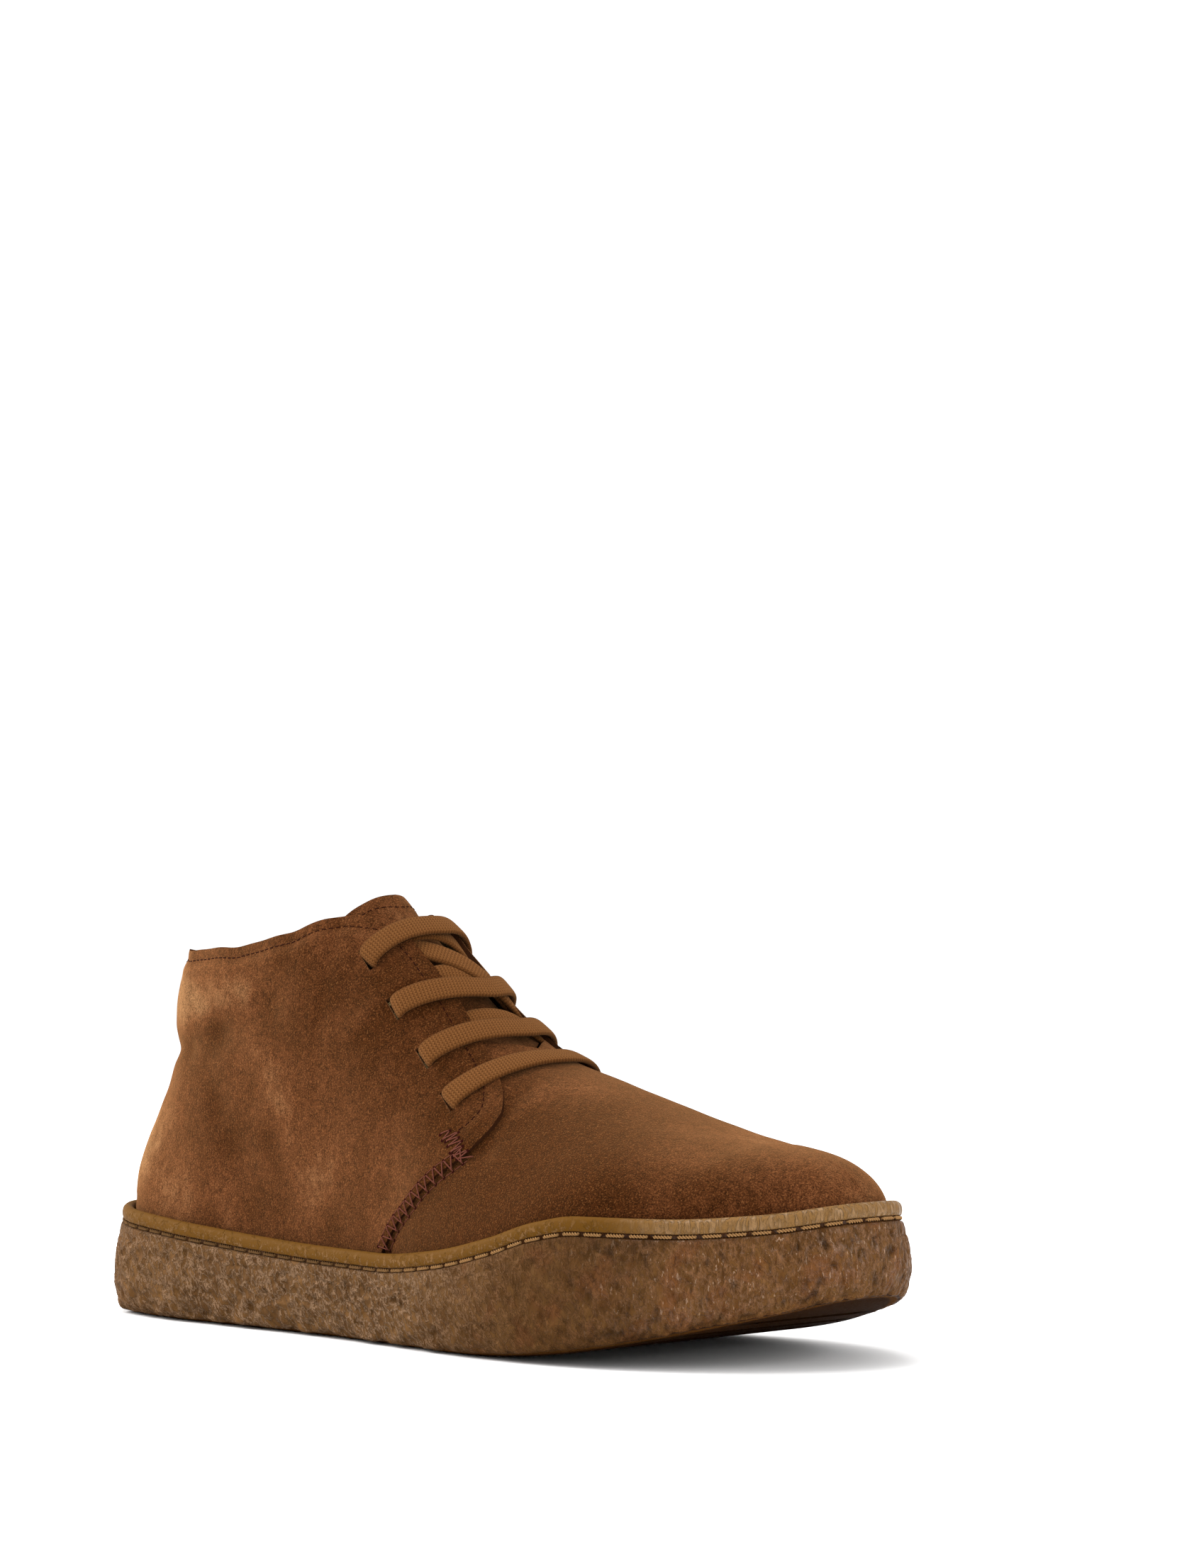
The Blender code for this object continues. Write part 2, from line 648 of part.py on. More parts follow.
def make_lace():
    paths = [(bar_path(k, BAR_LIFT), bar_path(k, BAR_LIFT + 1)) for k in range(len(SLOTS))]
    last = len(SLOTS) - 1
    runs = [(k + 1, k) for k in range(last)] + [(last, 0)]
    paths += [(crossing_path(*run, CROSS_LIFT), crossing_path(*run, CROSS_LIFT + 1)) for run in runs]
    lace = None
    for number, path in enumerate(paths):
        run = finish(f"lace_run_{number}", strip(*path), LACE_BROWN, 0.85)
        if lace is None:
            lace = run
            lace.name = "lace"
        else:
            boolean(lace, run, "UNION")


def clear_scene():
    for obj in list(bpy.data.objects):
        bpy.data.objects.remove(obj, do_unlink=True)


def main():
    clear_scene()
    make_sole()
    cut_slots(make_upper())
    make_tongue()
    make_insole()
    make_lace()


if __name__ == "__main__":
    main()
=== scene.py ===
"""Right chukka boot: suede quarters and vamp on a crepe rubber cupsole, laced with a flat lace.

Sizes are in millimetres unless a name or a comment says metres. The boot's frame is in metres with +Z up,
the toe at -Y and the lateral side at -X. A place along the boot is its distance from the heel's back end,
here called back, and a place around it is a share of the sole's outline: 0 at the heel, 0.5 at the toe.
"""

import math

import bpy
import numpy as np
from mathutils import Matrix, Vector, noise
from mathutils.bvhtree import BVHTree


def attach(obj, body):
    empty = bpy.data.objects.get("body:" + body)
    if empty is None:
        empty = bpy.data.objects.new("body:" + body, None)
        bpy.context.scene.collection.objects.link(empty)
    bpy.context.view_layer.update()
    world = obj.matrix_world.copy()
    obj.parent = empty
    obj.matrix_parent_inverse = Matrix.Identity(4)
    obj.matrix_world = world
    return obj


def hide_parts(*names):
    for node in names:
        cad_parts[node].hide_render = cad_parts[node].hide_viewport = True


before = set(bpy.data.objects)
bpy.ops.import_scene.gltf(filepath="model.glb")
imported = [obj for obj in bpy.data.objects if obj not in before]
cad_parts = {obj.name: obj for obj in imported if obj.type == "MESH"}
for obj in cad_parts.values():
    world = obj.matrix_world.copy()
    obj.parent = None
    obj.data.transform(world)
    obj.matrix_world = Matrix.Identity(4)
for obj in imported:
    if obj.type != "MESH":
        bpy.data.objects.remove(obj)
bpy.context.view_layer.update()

bl_info = {
    "name": "Suede chukka boot",
    "version": (1, 0, 0),
    "blender": (4, 5, 0),
    "location": "View3D > Sidebar > Boot",
    "description": "Models a laced suede ankle boot on a crepe cupsole, and a plain stage",
    "category": "Add Mesh",
}

MM = 0.001

# ---- the last and the cup: sizes of the part's solids, with a finer FRONT_EDGE ----
LENGTH = 300.0
TOE_TIP_X = 9.0
BALL = 180.0  # where the toe spring starts
TOE_SPRING = 19.0  # lift of the tread at the toe
OUTLINE = (  # back, lateral, medial
    (5, 22, 21), (20, 35, 33.5), (45, 41, 38), (82, 42, 36.5), (118, 44, 36), (152, 48, 41),
    (185, 53.4, 49), (212, 55, 54), (240, 51.7, 54.6), (265, 40.8, 48.5), (286, 23.5, 35.5),
    (298, 5.5, 20.5),
)
RIM_COLUMNS = ("back", "lateral", "medial", "footbed")
RIM = (
    (0, 34.6, 34.6, 22), (30, 32.8, 33.2, 21.5), (60, 30.6, 31.6, 20), (90, 28.5, 30.2, 18.2),
    (120, 27.3, 29.6, 16.6), (148, 27.0, 30.2, 15.6), (176, 29.6, 32.8, 15.8), (202, 35.0, 36.6, 18),
    (220, 40.2, 40.0, 20.5), (236, 42.6, 42.0, 23), (262, 42.5, 42.8, 27), (284, 43.9, 44.6, 30.5),
    (300, 46.8, 46.8, 33),
)
CUP_INSET = 6.0  # from the outline to the cup's inner wall
CUP_GAP = 0.6  # between the cup and the upper
GAP = 0.35  # between other pieces
QUARTER_LAYER = (-1.0, 1.3)  # the quarters' inner and outer face, out from the last
VAMP_LAYER = (-1.9, 0.0)  # the same for the vamp
STEP_ROOM = (146.0, 166.0)  # where the room for the quarters' thickness fades out
SECTION_COLUMNS = ("back", "lean", "rise", "shoulder_out", "shoulder_up", "top_out", "top_up")
SECTION = (
    (0, 10, 23, 20.5, 70, 18.5, 134), (25, 10, 23, 20.5, 70, 18.5, 134), (45, 6, 22, 24, 88, 21.5, 136),
    (65, 3, 30, 30, 94, 24, 138), (85, 3, 40, 33, 104, 24, 141), (100, 3, 48, 35, 122, 16, 142),
    (107, 3, 48, 35, 129, 8, 140.5), (113, 3, 48, 34, 134, 0, 137), (122, 3, 45, 33, 128, 0, 128),
    (130, 3, 43, 32, 122.5, 0, 122.5), (140, 3, 40, 31, 113.8, 0, 113.8),
    (150, 3, 36, 30.5, 104.3, 0, 104.3), (160, 3, 33, 30, 95.5, 0, 95.5),
    (170, 4, 30, 29.5, 88.2, 0, 88.2), (180, 5, 27, 29, 83.3, 0, 83.3), (190, 6, 24, 28, 80.3, 0, 80.3),
    (204, 8, 21, 27, 76.0, 0, 76.0), (230, 10, 16, 26, 67.6, 0, 67.6), (246, 12, 13, 25, 64.0, 0, 64.0),
    (262, 14, 11, 23, 61.8, 0, 61.8), (300, 18, 8, 19, 61.8, 0, 61.8),
)
MEDIAL_SHOULDER = ((0, 1), (85, 1), (113, 0.69), (160, 0.72), (190, 1))
SPINE = (44.0, 262.0)  # the sections fan out from the ends of this line
NOSE_SPAN = 8.0  # length over which the ridge's slope is read at the toe
SPINE_X = ((0, -1.0), (90, -1.0), (116, -3.0), (150, -2.0), (180, 1.0), (262, 5.0), (300, 7.0))
COLLAR = ((0, 115.2), (45, 115.6), (75, 117.6), (93, 121.2), (107, 125.4), (115, 126.4), (121, 125.4))
FRONT_EDGE = (  # back and height, up the seam, round the facing's lower corner and up the facing
    (146.9, 27.1), (152.4, 34.8), (158.6, 40.1), (164.8, 45.9), (171.6, 51.1), (177.6, 55.0),
    (181.6, 58.2), (184.3, 61.8), (186.0, 65.4), (186.2, 68.2), (184.2, 71.8), (179.4, 76.4),
    (170.5, 83.2), (158, 94.4), (148, 104), (139, 112.3), (130, 119.9), (124.5, 123.8), (121, 125.4),
)
VAMP_BACK = (141.0, 172.0)  # the vamp's hidden rear edge at the rim and at the ridge
SLOTS = (  # back, height, ridge
    (123.9, 113.0, 131.0), (138.4, 98.3, 151.5), (153.1, 84.0, 165.5), (166.8, 71.6, 179.5),
)
BAR_BEND = 1.5  # power of a bar's sweep from its slot to the ridge
TONGUE_SIDE = 0.66  # t of the tongue's side edges
TONGUE_TOP = (115.2, 10.0)  # the top edge at the ridge, and how far its corners fall behind
TREAD_PITCH = 13.0  # from one cross groove to the next
TREAD_GROOVE = (3.4, 2.4)  # width and depth
TREAD_INSET = 13.0  # from the outline to a groove's end
TREAD_RANGE = (14.0, 285.0)  # first and last groove


# ---- reading the tables ----
def smooth(xs, ys, x):
    """Smooth curve through a table's points that never overshoots them."""
    xs, ys, x = (np.asarray(v, float) for v in (xs, ys, x))
    step, rate = np.diff(xs), np.diff(ys) / np.diff(xs)
    slope = np.zeros(len(xs))
    same = rate[:-1] * rate[1:] > 0
    weight = (2 * step[1:] + step[:-1], step[1:] + 2 * step[:-1])
    with np.errstate(divide="ignore", invalid="ignore"):
        mean = (weight[0] + weight[1]) / (weight[0] / rate[:-1] + weight[1] / rate[1:])
    slope[1:-1] = np.where(same, mean, 0)
    slope[0], slope[-1] = rate[0], rate[-1]
    x = np.clip(x, xs[0], xs[-1])
    k = np.clip(np.searchsorted(xs, x, side="right") - 1, 0, len(step) - 1)
    h, u = step[k], (x - xs[k]) / step[k]
    return (
        (1 + 2 * u) * (1 - u) ** 2 * ys[k]
        + u * (1 - u) ** 2 * h * slope[k]
        + u * u * (3 - 2 * u) * ys[k + 1]
        + u * u * (u - 1) * h * slope[k + 1]
    )


def column(table, columns, name, back):
    rows = np.array(table, float)
    return smooth(rows[:, 0], rows[:, columns.index(name)], back)


def pairs(table, x):
    rows = np.array(table, float)
    return smooth(rows[:, 0], rows[:, 1], x)


def running(points):
    """Running length along a polyline."""
    return np.r_[0, np.cumsum(np.linalg.norm(np.diff(points, axis=0), axis=1))]


def unit(vectors):
    """The vectors at length 1."""
    return vectors / np.linalg.norm(vectors, axis=-1)[..., None]


def bell(distance, width):
    """1 at no distance, falling smoothly to 0."""
    return np.exp(-((distance / width) ** 2))


def closed_curve(points):
    """A smooth closed curve through the given points: running length and points."""
    p = np.array(points, float)
    before, after = np.roll(p, 1, 0), np.roll(p, -1, 0)
    d0 = np.linalg.norm(p - before, axis=1)[:, None]
    d1 = np.linalg.norm(after - p, axis=1)[:, None]
    tangent = ((p - before) / d0 * d1 + (after - p) / d1 * d0) / (d0 + d1)
    u = np.linspace(0, 1, 40, endpoint=False)[None, :, None]
    a, b, h = p[:, None], after[:, None], d1[:, None]
    ta, tb = tangent[:, None] * h, np.roll(tangent, -1, 0)[:, None] * h
    leaving = (1 + 2 * u) * (1 - u) ** 2 * a + u * (1 - u) ** 2 * ta
    arriving = u * u * (3 - 2 * u) * b + u * u * (u - 1) * tb
    curve = (leaving + arriving).reshape(-1, 2)
    curve = np.vstack([curve, curve[:1]])
    return running(curve), curve


LATERAL_SIDE = [(-row[1], row[0]) for row in OUTLINE]
MEDIAL_SIDE = [(row[2], row[0]) for row in reversed(OUTLINE)]
RUN, CURVE = closed_curve([(0, 0)] + LATERAL_SIDE + [(TOE_TIP_X, LENGTH)] + MEDIAL_SIDE)
PERIMETER = RUN[-1]


def run_at(places):
    """Running length around the sole's outline."""
    tip = RUN[np.argmax(CURVE[:, 1])]
    return np.interp(np.asarray(places, float) % 1.0, (0, 0.5, 1), (0, tip, PERIMETER))


TANGENT_REACH = 2.0  # running length each way over which the outline's direction is read


def outline(places, inset=0.0):
    """Points (x, back) on the sole's plan outline, moved inward."""

    def point(s):
        s = s % PERIMETER
        return np.stack([np.interp(s, RUN, CURVE[:, 0]), np.interp(s, RUN, CURVE[:, 1])], -1)

    at = run_at(places)
    along = unit(point(at + TANGENT_REACH) - point(at - TANGENT_REACH))
    outward = np.stack([-along[..., 1], along[..., 0]], -1)
    return point(at) - outward * np.asarray(inset)[..., None]


def tread_height(back):
    return TOE_SPRING * np.clip((np.asarray(back, float) - BALL) / (LENGTH - BALL), 0, None) ** 2


def rim_height(places, back):
    lateral = column(RIM, RIM_COLUMNS, "lateral", back)
    medial = column(RIM, RIM_COLUMNS, "medial", back)
    return np.where(np.asarray(places) % 1.0 <= 0.5, lateral, medial)


def footbed_height(back):
    return column(RIM, RIM_COLUMNS, "footbed", back)


# ---- the last ----
def seat_inset(back):
    room = np.clip((STEP_ROOM[1] - back) / (STEP_ROOM[1] - STEP_ROOM[0]), 0, 1)
    return CUP_INSET + CUP_GAP + QUARTER_LAYER[1] * room * room * (3 - 2 * room)


def ridge_height(back):
    return column(SECTION, SECTION_COLUMNS, "top_up", back)


NOSE_SLOPE = (ridge_height(SPINE[1] - NOSE_SPAN) - ridge_height(SPINE[1])) / NOSE_SPAN


def section(places):
    """The four control points of each section, its spine point and its direction across the boot."""
    back = outline(places, CUP_INSET)[..., 1]
    foot = outline(places, seat_inset(back))
    x, back = foot[..., 0], foot[..., 1]
    spine_back = np.clip(back, *SPINE)
    spine_x = pairs(SPINE_X, spine_back)
    across = np.stack([x - spine_x, back - spine_back], -1)
    radius = np.linalg.norm(across, axis=-1)
    across /= radius[..., None]
    value = {name: column(SECTION, SECTION_COLUMNS, name, back) for name in SECTION_COLUMNS[1:]}
    rim = rim_height(places, back)
    fall = np.where(back > SPINE[1], NOSE_SLOPE * across[..., 1], 0)
    lean = np.radians(value["lean"])
    medial = np.where(np.asarray(places) % 1.0 > 0.5, pairs(MEDIAL_SHOULDER, back), 1)
    points = (
        (radius, rim),
        (radius - value["rise"] * np.sin(lean), rim + value["rise"] * np.cos(lean)),
        (value["shoulder_out"] * medial, value["shoulder_up"] - value["shoulder_out"] * fall),
        (value["top_out"], value["top_up"]),
    )
    return points, spine_x, spine_back, across, footbed_height(back)


def bezier(u, ends):
    """Value of a cubic curve with these four control values."""
    weights = ((1 - u) ** 3, 3 * (1 - u) ** 2 * u, 3 * (1 - u) * u * u, u**3)
    return sum(weight * end for weight, end in zip(weights, ends))


def last_point(places, t):
    """Point (x, back, z) of the last. t is 0 at the rim, 1 at the section's top and -1 at the footbed."""
    places, t = np.broadcast_arrays(np.asarray(places, float), np.asarray(t, float))
    points, spine_x, spine_back, across, floor = section(places)
    u = np.clip(t, 0, 1)
    radius, height = (bezier(u, values) for values in zip(*points))
    height = height + np.clip(t, -1, 0) * (points[0][1] - floor)
    return np.stack([spine_x + across[..., 0] * radius, spine_back + across[..., 1] * radius, height], -1)


def last_normal(places, t):
    places, t = np.broadcast_arrays(np.asarray(places, float), np.asarray(t, float))
    du, dt = 0.002, 0.01
    along = last_point(places + du, t) - last_point(places - du, t)
    up = last_point(places, np.clip(t + dt, -1, 1)) - last_point(places, np.clip(t - dt, -1, 1))
    normal = np.cross(up, along)
    top = t > 0.999
    normal[top, 0] = 0
    size = np.linalg.norm(normal, axis=-1)
    normal /= np.maximum(size, 1e-9)[..., None]
    pole = top & (last_point(places, 0.0 * t)[..., 1] > SPINE[1] - 0.1)
    normal[pole] = unit(np.array([0, NOSE_SLOPE, 1.0]))
    return normal


def in_frame(point):
    """From (x, back, z) in millimetres to the boot's frame in metres."""
    return np.stack([point[..., 0], LENGTH / 2 - point[..., 1], point[..., 2]], -1) * MM


def on_last(places, t, offset):
    """Points offset outward from the last, in the boot's frame and in metres."""
    return in_frame(last_point(places, t) + last_normal(places, t) * np.asarray(offset)[..., None])


LATERAL_PLACES = np.linspace(0, 0.5, 401)


def place_of(side, back):
    """Place around the outline of a section on one side, from its distance from the heel."""
    half = LATERAL_PLACES if side < 0 else 1 - LATERAL_PLACES
    points, _, spine_back, across, _ = section(half)
    backs = spine_back + across[..., 1] * points[0][0]
    return np.interp(back, backs, half)


def height_on_section(places, height):
    """The t at which each section reaches a height."""
    places, height = np.broadcast_arrays(np.asarray(places, float), np.asarray(height, float))
    z = [point[1] for point in section(places)[0]]
    low, high = 0 * height, 1 + 0 * height
    for _ in range(24):
        u = (low + high) / 2
        here = bezier(u, z)
        low, high = np.where(here < height, u, low), np.where(here < height, high, u)
    return (low + high) / 2


def front_edge(side, fractions):
    """Place and height along the quarter's front edge, from the rim to the collar's corner."""
    edge = np.array(FRONT_EDGE, float)
    run = running(edge)
    at = np.asarray(fractions) * run[-1]
    back, height = smooth(run, edge[:, 0], at), smooth(run, edge[:, 1], at)
    return place_of(side, back), height


def vamp_back(t):
    return VAMP_BACK[0] + (VAMP_BACK[1] - VAMP_BACK[0]) * np.clip(t, 0, 1) ** 1.3


# ---- modelling helpers ----
def only(*pieces):
    """Leaves just these objects selected, the last of them active."""
    if bpy.context.mode != "OBJECT":
        bpy.ops.object.mode_set(mode="OBJECT")
    bpy.ops.object.select_all(action="DESELECT")
    for piece in pieces:
        piece.select_set(True)
    bpy.context.view_layer.objects.active = pieces[-1] if pieces else None


def apply(piece, kind, **settings):
    only(piece)
    modifier = piece.modifiers.new(kind.lower(), kind)
    for key, value in settings.items():
        setattr(modifier, key, value)
    bpy.ops.object.modifier_apply(modifier=modifier.name)
    if not piece.data.polygons:
        raise RuntimeError(f"{kind} left nothing of {piece.name}")


def edit(piece, *steps):
    """Runs mesh operators, each with its settings, on all of a piece."""
    only(piece)
    bpy.ops.object.mode_set(mode="EDIT")
    for operator, settings in steps:
        bpy.ops.mesh.select_all(action="SELECT")
        operator(**settings)
    bpy.ops.object.mode_set(mode="OBJECT")


OUTWARD = (bpy.ops.mesh.normals_make_consistent, {"inside": False})


def clean(piece, merge=0.02, outward=True):
    """Merges doubles and, on a closed piece, turns its faces outward."""
    doubles = (bpy.ops.mesh.remove_doubles, {"threshold": merge * MM})
    edit(piece, doubles, (bpy.ops.mesh.delete_loose, {}), *([OUTWARD] if outward else []))


def set_map(mesh, layer, uv):
    """Writes a map that is given at each point."""
    corner = np.empty(len(mesh.loops), np.int32)
    mesh.loops.foreach_get("vertex_index", corner)
    layer.data.foreach_set("uv", uv[corner].astype(np.float32).ravel())


def lay_sheet(name, points, uv=None, **layers):
    """A grid primitive laid over points (rows, columns, 3) in metres, with its map and named layers."""
    rows, columns = points.shape[:2]
    only()
    bpy.ops.mesh.primitive_grid_add(x_subdivisions=columns - 1, y_subdivisions=rows - 1, size=1)
    piece = bpy.context.object
    piece.name = piece.data.name = name
    mesh = piece.data
    flat = np.empty(len(mesh.vertices) * 3, np.float32)
    mesh.vertices.foreach_get("co", flat)
    flat = flat.reshape(-1, 3) + 0.5
    at = (
        np.rint(flat[:, 1] * (rows - 1)).astype(int),
        np.rint(flat[:, 0] * (columns - 1)).astype(int),
    )
    mesh.vertices.foreach_set("co", points[at].astype(np.float32).ravel())
    if uv is not None:
        set_map(mesh, mesh.uv_layers[0], uv[at])
    for layer, values in layers.items():
        attribute = mesh.attributes.new(layer, "FLOAT", "POINT")
        attribute.data.foreach_set("value", values[at].astype(np.float32))
    mesh.update()
    return piece


def coat(piece, *paints):
    piece.data.materials.clear()
    for paint in paints:
        piece.data.materials.append(paint)


def settle(piece, node, degrees=40):
    """Shades a finished piece smooth by angle, attaches it to the root body and hides the part that it
    replaces.
    """
    only(piece)
    bpy.ops.object.shade_smooth_by_angle(angle=math.radians(degrees))
    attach(piece, "root")
    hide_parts(node)


def cube(location, rotation, size):
    """A box to cut with, its sizes in metres."""
    only()
    bpy.ops.mesh.primitive_cube_add(size=1, location=location, rotation=rotation)
    bpy.context.object.scale = size
    return bpy.context.object


def cut(piece, cutter):
    apply(piece, "BOOLEAN", operation="DIFFERENCE", solver="EXACT", object=cutter)
    bpy.data.objects.remove(cutter, do_unlink=True)


def join(name, pieces):
    only(*pieces)
    bpy.ops.object.join()
    piece = bpy.context.object
    piece.name = piece.data.name = name
    return piece


def surface_of(*pieces):
    """A lookup of the nearest point and normal on finished pieces, in metres."""
    points, faces = [], []
    for piece in pieces:
        start = len(points)
        points += [vertex.co.copy() for vertex in piece.data.vertices]
        faces += [[start + k for k in polygon.vertices] for polygon in piece.data.polygons]
    return BVHTree.FromPolygons(points, faces)


def grain(points, scale, seed=0.0, stretch=(1, 1, 1), depth=1):
    """Smooth noise from -1 to 1 at each point (metres). scale is the size of a bump in millimetres."""
    shape = points.shape[:-1]
    grid = (points.reshape(-1, 3) / (scale * MM)) * np.array(stretch) + seed
    if depth == 1:
        return np.array([noise.noise(row) for row in grid.tolist()]).reshape(shape)
    return np.array([noise.fractal(row, 0.6, 2.1, depth) for row in grid.tolist()]).reshape(shape)


# ---- shader helpers ----
class Value:
    """A socket of a material's nodes. Arithmetic on it adds Math nodes."""

    def __init__(self, paint, socket):
        self.paint, self.socket = paint, socket

    def __add__(self, other):
        return self.paint.math("ADD", self, other)

    def __sub__(self, other):
        return self.paint.math("SUBTRACT", self, other)

    def __rsub__(self, other):
        return self.paint.math("SUBTRACT", other, self)

    def __mul__(self, other):
        return self.paint.math("MULTIPLY", self, other)

    __radd__, __rmul__ = __add__, __mul__


class Paint:
    """One material and the nodes that colour it."""

    def __init__(self, name, **constants):
        self.material = bpy.data.materials.new(name)
        self.material.use_nodes = True
        self.tree = self.material.node_tree
        self.shader = self.tree.nodes["Principled BSDF"]
        for key, value in constants.items():
            name = key.replace("_", " ").title().replace("Ior", "IOR")
            self.feed(self.shader.inputs[name], value)

    def node(self, kind, settings=None, inputs=None, out=0):
        """Adds a node: its settings, then the values or links of its sockets. Gives one output."""
        node = self.tree.nodes.new("ShaderNode" + kind)
        for key, value in (settings or {}).items():
            setattr(node, key, value)
        for key, value in (inputs or {}).items():
            self.feed(node.inputs[key], value)
        return Value(self, node.outputs[out])

    def feed(self, socket, value):
        if isinstance(value, Value):
            self.tree.links.new(value.socket, socket)
        elif socket.type == "RGBA":
            socket.default_value = (*value, 1)
        else:
            socket.default_value = value

    def math(self, operation, *values):
        return self.node("Math", {"operation": operation}, dict(enumerate(values)))

    def scaled(self, colour, factor):
        return self.node("VectorMath", {"operation": "SCALE"}, {0: colour, "Scale": factor})

    def axes(self, source):
        """X, Y and Z of the Object coordinates or of the map (UV), in metres."""
        x = self.node("SeparateXYZ", None, {"Vector": self.node("TexCoord", out=source)})
        return x, *(Value(self, x.socket.node.outputs[axis]) for axis in "YZ")

    def place(self, scale=(1, 1, 1), turn=(0, 0, 0), kind="POINT"):
        """Object coordinates in metres, scaled and turned."""
        values = {"Vector": self.node("TexCoord", out="Object"), "Scale": scale, "Rotation": turn}
        return self.node("Mapping", {"vector_type": kind}, values)

    def noise(self, size, vector=None, detail=2.0, rough=0.5, warp=0.0):
        """Noise from 0 to 1 with bumps of a size in millimetres."""
        vector = vector or self.place()
        values = {"Vector": vector, "Scale": 1000 / size, "Detail": detail, "Roughness": rough}
        return self.node("TexNoise", None, {**values, "Distortion": warp}, "Fac")

    def layer(self, name):
        return self.node("Attribute", {"attribute_name": name}, None, "Fac")

    def span(self, value, low, high, to_low=0.0, to_high=1.0):
        """Rescales a range, held at its ends and eased between."""
        values = {"Value": value, 1: low, 2: high, 3: to_low, 4: to_high}
        return self.node("MapRange", {"interpolation_type": "SMOOTHSTEP"}, values)

    def mix(self, factor, first, second):
        return self.node("Mix", {"data_type": "RGBA"}, {0: factor, 6: first, 7: second}, 2)

    def over(self, colour, *coats):
        """Lays coats, each a share and a colour, over a colour in turn."""
        for share, coat_colour in coats:
            colour = self.mix(share, colour, coat_colour)
        return colour

    def bump(self, height, distance):
        """distance is the height's size in millimetres."""
        return self.node("Bump", None, {"Height": height, "Distance": distance * MM})

    def finish(self, colour, normal=None, roughness=None):
        for key, value in (("Base Color", colour), ("Roughness", roughness), ("Normal", normal)):
            if value is not None:
                self.feed(self.shader.inputs[key], value)
        return self.material


# ---- sole ----
WALL = (  # inset, share of the height from tread to rim, lift. A row's number here is its level
    (7.5, 0, 0.0),  # tread edge
    (3.0, 0, 1.5),
    (0.9, 0, 4.6),
    (0.0, 0, 9.0),  # widest
    (0.4, 0.5, 0.0),
    (1.6, 1, -10.0),
    (2.1, 1, -5.9),  # stitch groove
    (3.2, 1, -5.4),
    (3.2, 1, -4.5),
    (2.5, 1, -4.0),  # rim
    (2.2, 1, -2.7),
    (2.5, 1, -1.1),
    (4.0, 1, 0.0),  # crown
    (5.4, 1, -0.5),
    (6.0, 1, -2.0),  # mouth of the cup
)
WALL_STEPS = ((0, 1, 3), (1, 3, 9), (3, 5, 18), (5, 6, 5), (6, 9, 9), (9, 14, 18))  # from, to, rows
SOLE_STATIONS = 960
# Start and length along the boot: the coarse crepe's fading, its gain from the heel's back on, and the
# fine crepe's gain. HEEL_LESS is how much less coarse it is at the heel's back.
CREPE_ENDS = ((165, 65), (0, 80), (222, 45))
HEEL_LESS = 0.22
CREPE_SLANT = 50  # degrees
CREPE_STRETCH = 2.2  # length of a slanted ridge to its width
RIDGE_SIZE, UPRIGHT_SIZE, LUMP_SIZE, KNOB_SIZE = 3.0, 2.6, 14, 5.5
# The crepe's shade layer is painted light from above: upward slopes and ridge tops lighter, hollows darker.
FLAT_SHADE, SLOPE_SHADE, HEIGHT_SHADE = 0.5, 0.55, (0.15, 0.8)  # shade of flat crepe, slopes and ridges
INSOLE_STATIONS = 240
INSOLE_INSET = 10.4  # from the outline to the insole's edge
INSOLE_RINGS = (  # inset from that edge, height above the footbed
    (0.2, 0.5), (0.0, 0.9), (0.0, 3.2), (0.25, 3.9), (0.9, 4.3), (3.0, 4.5), (8.0, 4.3),
)


def wall_ring(places, inset, share, lift):
    """A ring around the cup, in the boot's frame and in metres."""
    edge = outline(places)[..., 1]
    tread, rim = tread_height(edge), rim_height(places, edge)
    plan = outline(places, inset)
    return in_frame(np.column_stack([plan, tread + share * (rim - tread) + lift]))


def ends_of(back):
    """How much a place belongs to the coarse crepe at the heel, and to the fine crepe at the toe."""
    heel, behind, toe = (np.clip((back - at) / over, 0, 1) for at, over in CREPE_ENDS)
    return (1 - heel) * (1 - HEEL_LESS + HEEL_LESS * behind), toe


def centre_ring(ring):
    """The line half way between the ring's two sides."""
    return (ring + ring[::-1]) / 2


def grid_normals(points):
    """Unit normals of a grid of points whose columns run to the right and rows up, seen from outside."""
    along, up = np.gradient(points, axis=1), np.gradient(points, axis=0)
    normal = np.cross(along, up)
    return normal / np.maximum(np.linalg.norm(normal, axis=-1), 1e-12)[..., None]


def wall_profile():
    """Each row's place in the WALL table, and its inset, share and lift."""
    at = np.concatenate([np.linspace(a, b, n, endpoint=False) for a, b, n in WALL_STEPS] + [[14.0]])
    table = np.array(WALL, float)
    values = [smooth(np.arange(len(table)), table[:, k], at) for k in range(3)]
    return at, *values


def slanted(points):
    """The points seen along the crepe's slant, so that noise made there runs down toward the toe."""
    turn = math.radians(CREPE_SLANT)
    y, z = points[..., 1], points[..., 2]
    along = y * math.cos(turn) + z * math.sin(turn)
    across = z * math.cos(turn) - y * math.sin(turn)
    return np.stack([points[..., 0], along / CREPE_STRETCH, across], -1)


def crepe_relief(points, at, back):
    """Wrinkled crepe on the side band: coarse slanted ridges at the heel, fine upright ones at the toe."""
    heel, toe = ends_of(back)
    ridges = 1 - 2 * abs(grain(slanted(points), RIDGE_SIZE, 3.0, depth=2))
    upright = 1 - 2 * abs(grain(points, UPRIGHT_SIZE, 11.0, (1, 1, 0.4), 2))
    lumps, knobs = grain(points, LUMP_SIZE, 7.0), grain(points, KNOB_SIZE, 17.0)
    band = np.clip(at - 0.3, 0, 1) * np.clip((6.0 - at) / 0.6, 0, 1)
    low_edge = np.clip(1 - abs(at - 1.4) / 1.6, 0, 1)
    depth = ridges * (0.36 + 0.20 * heel) + upright * 0.36 * toe
    depth = depth + lumps * 0.3 + knobs * (0.12 + low_edge * (0.35 + 0.9 * heel))
    return band * depth


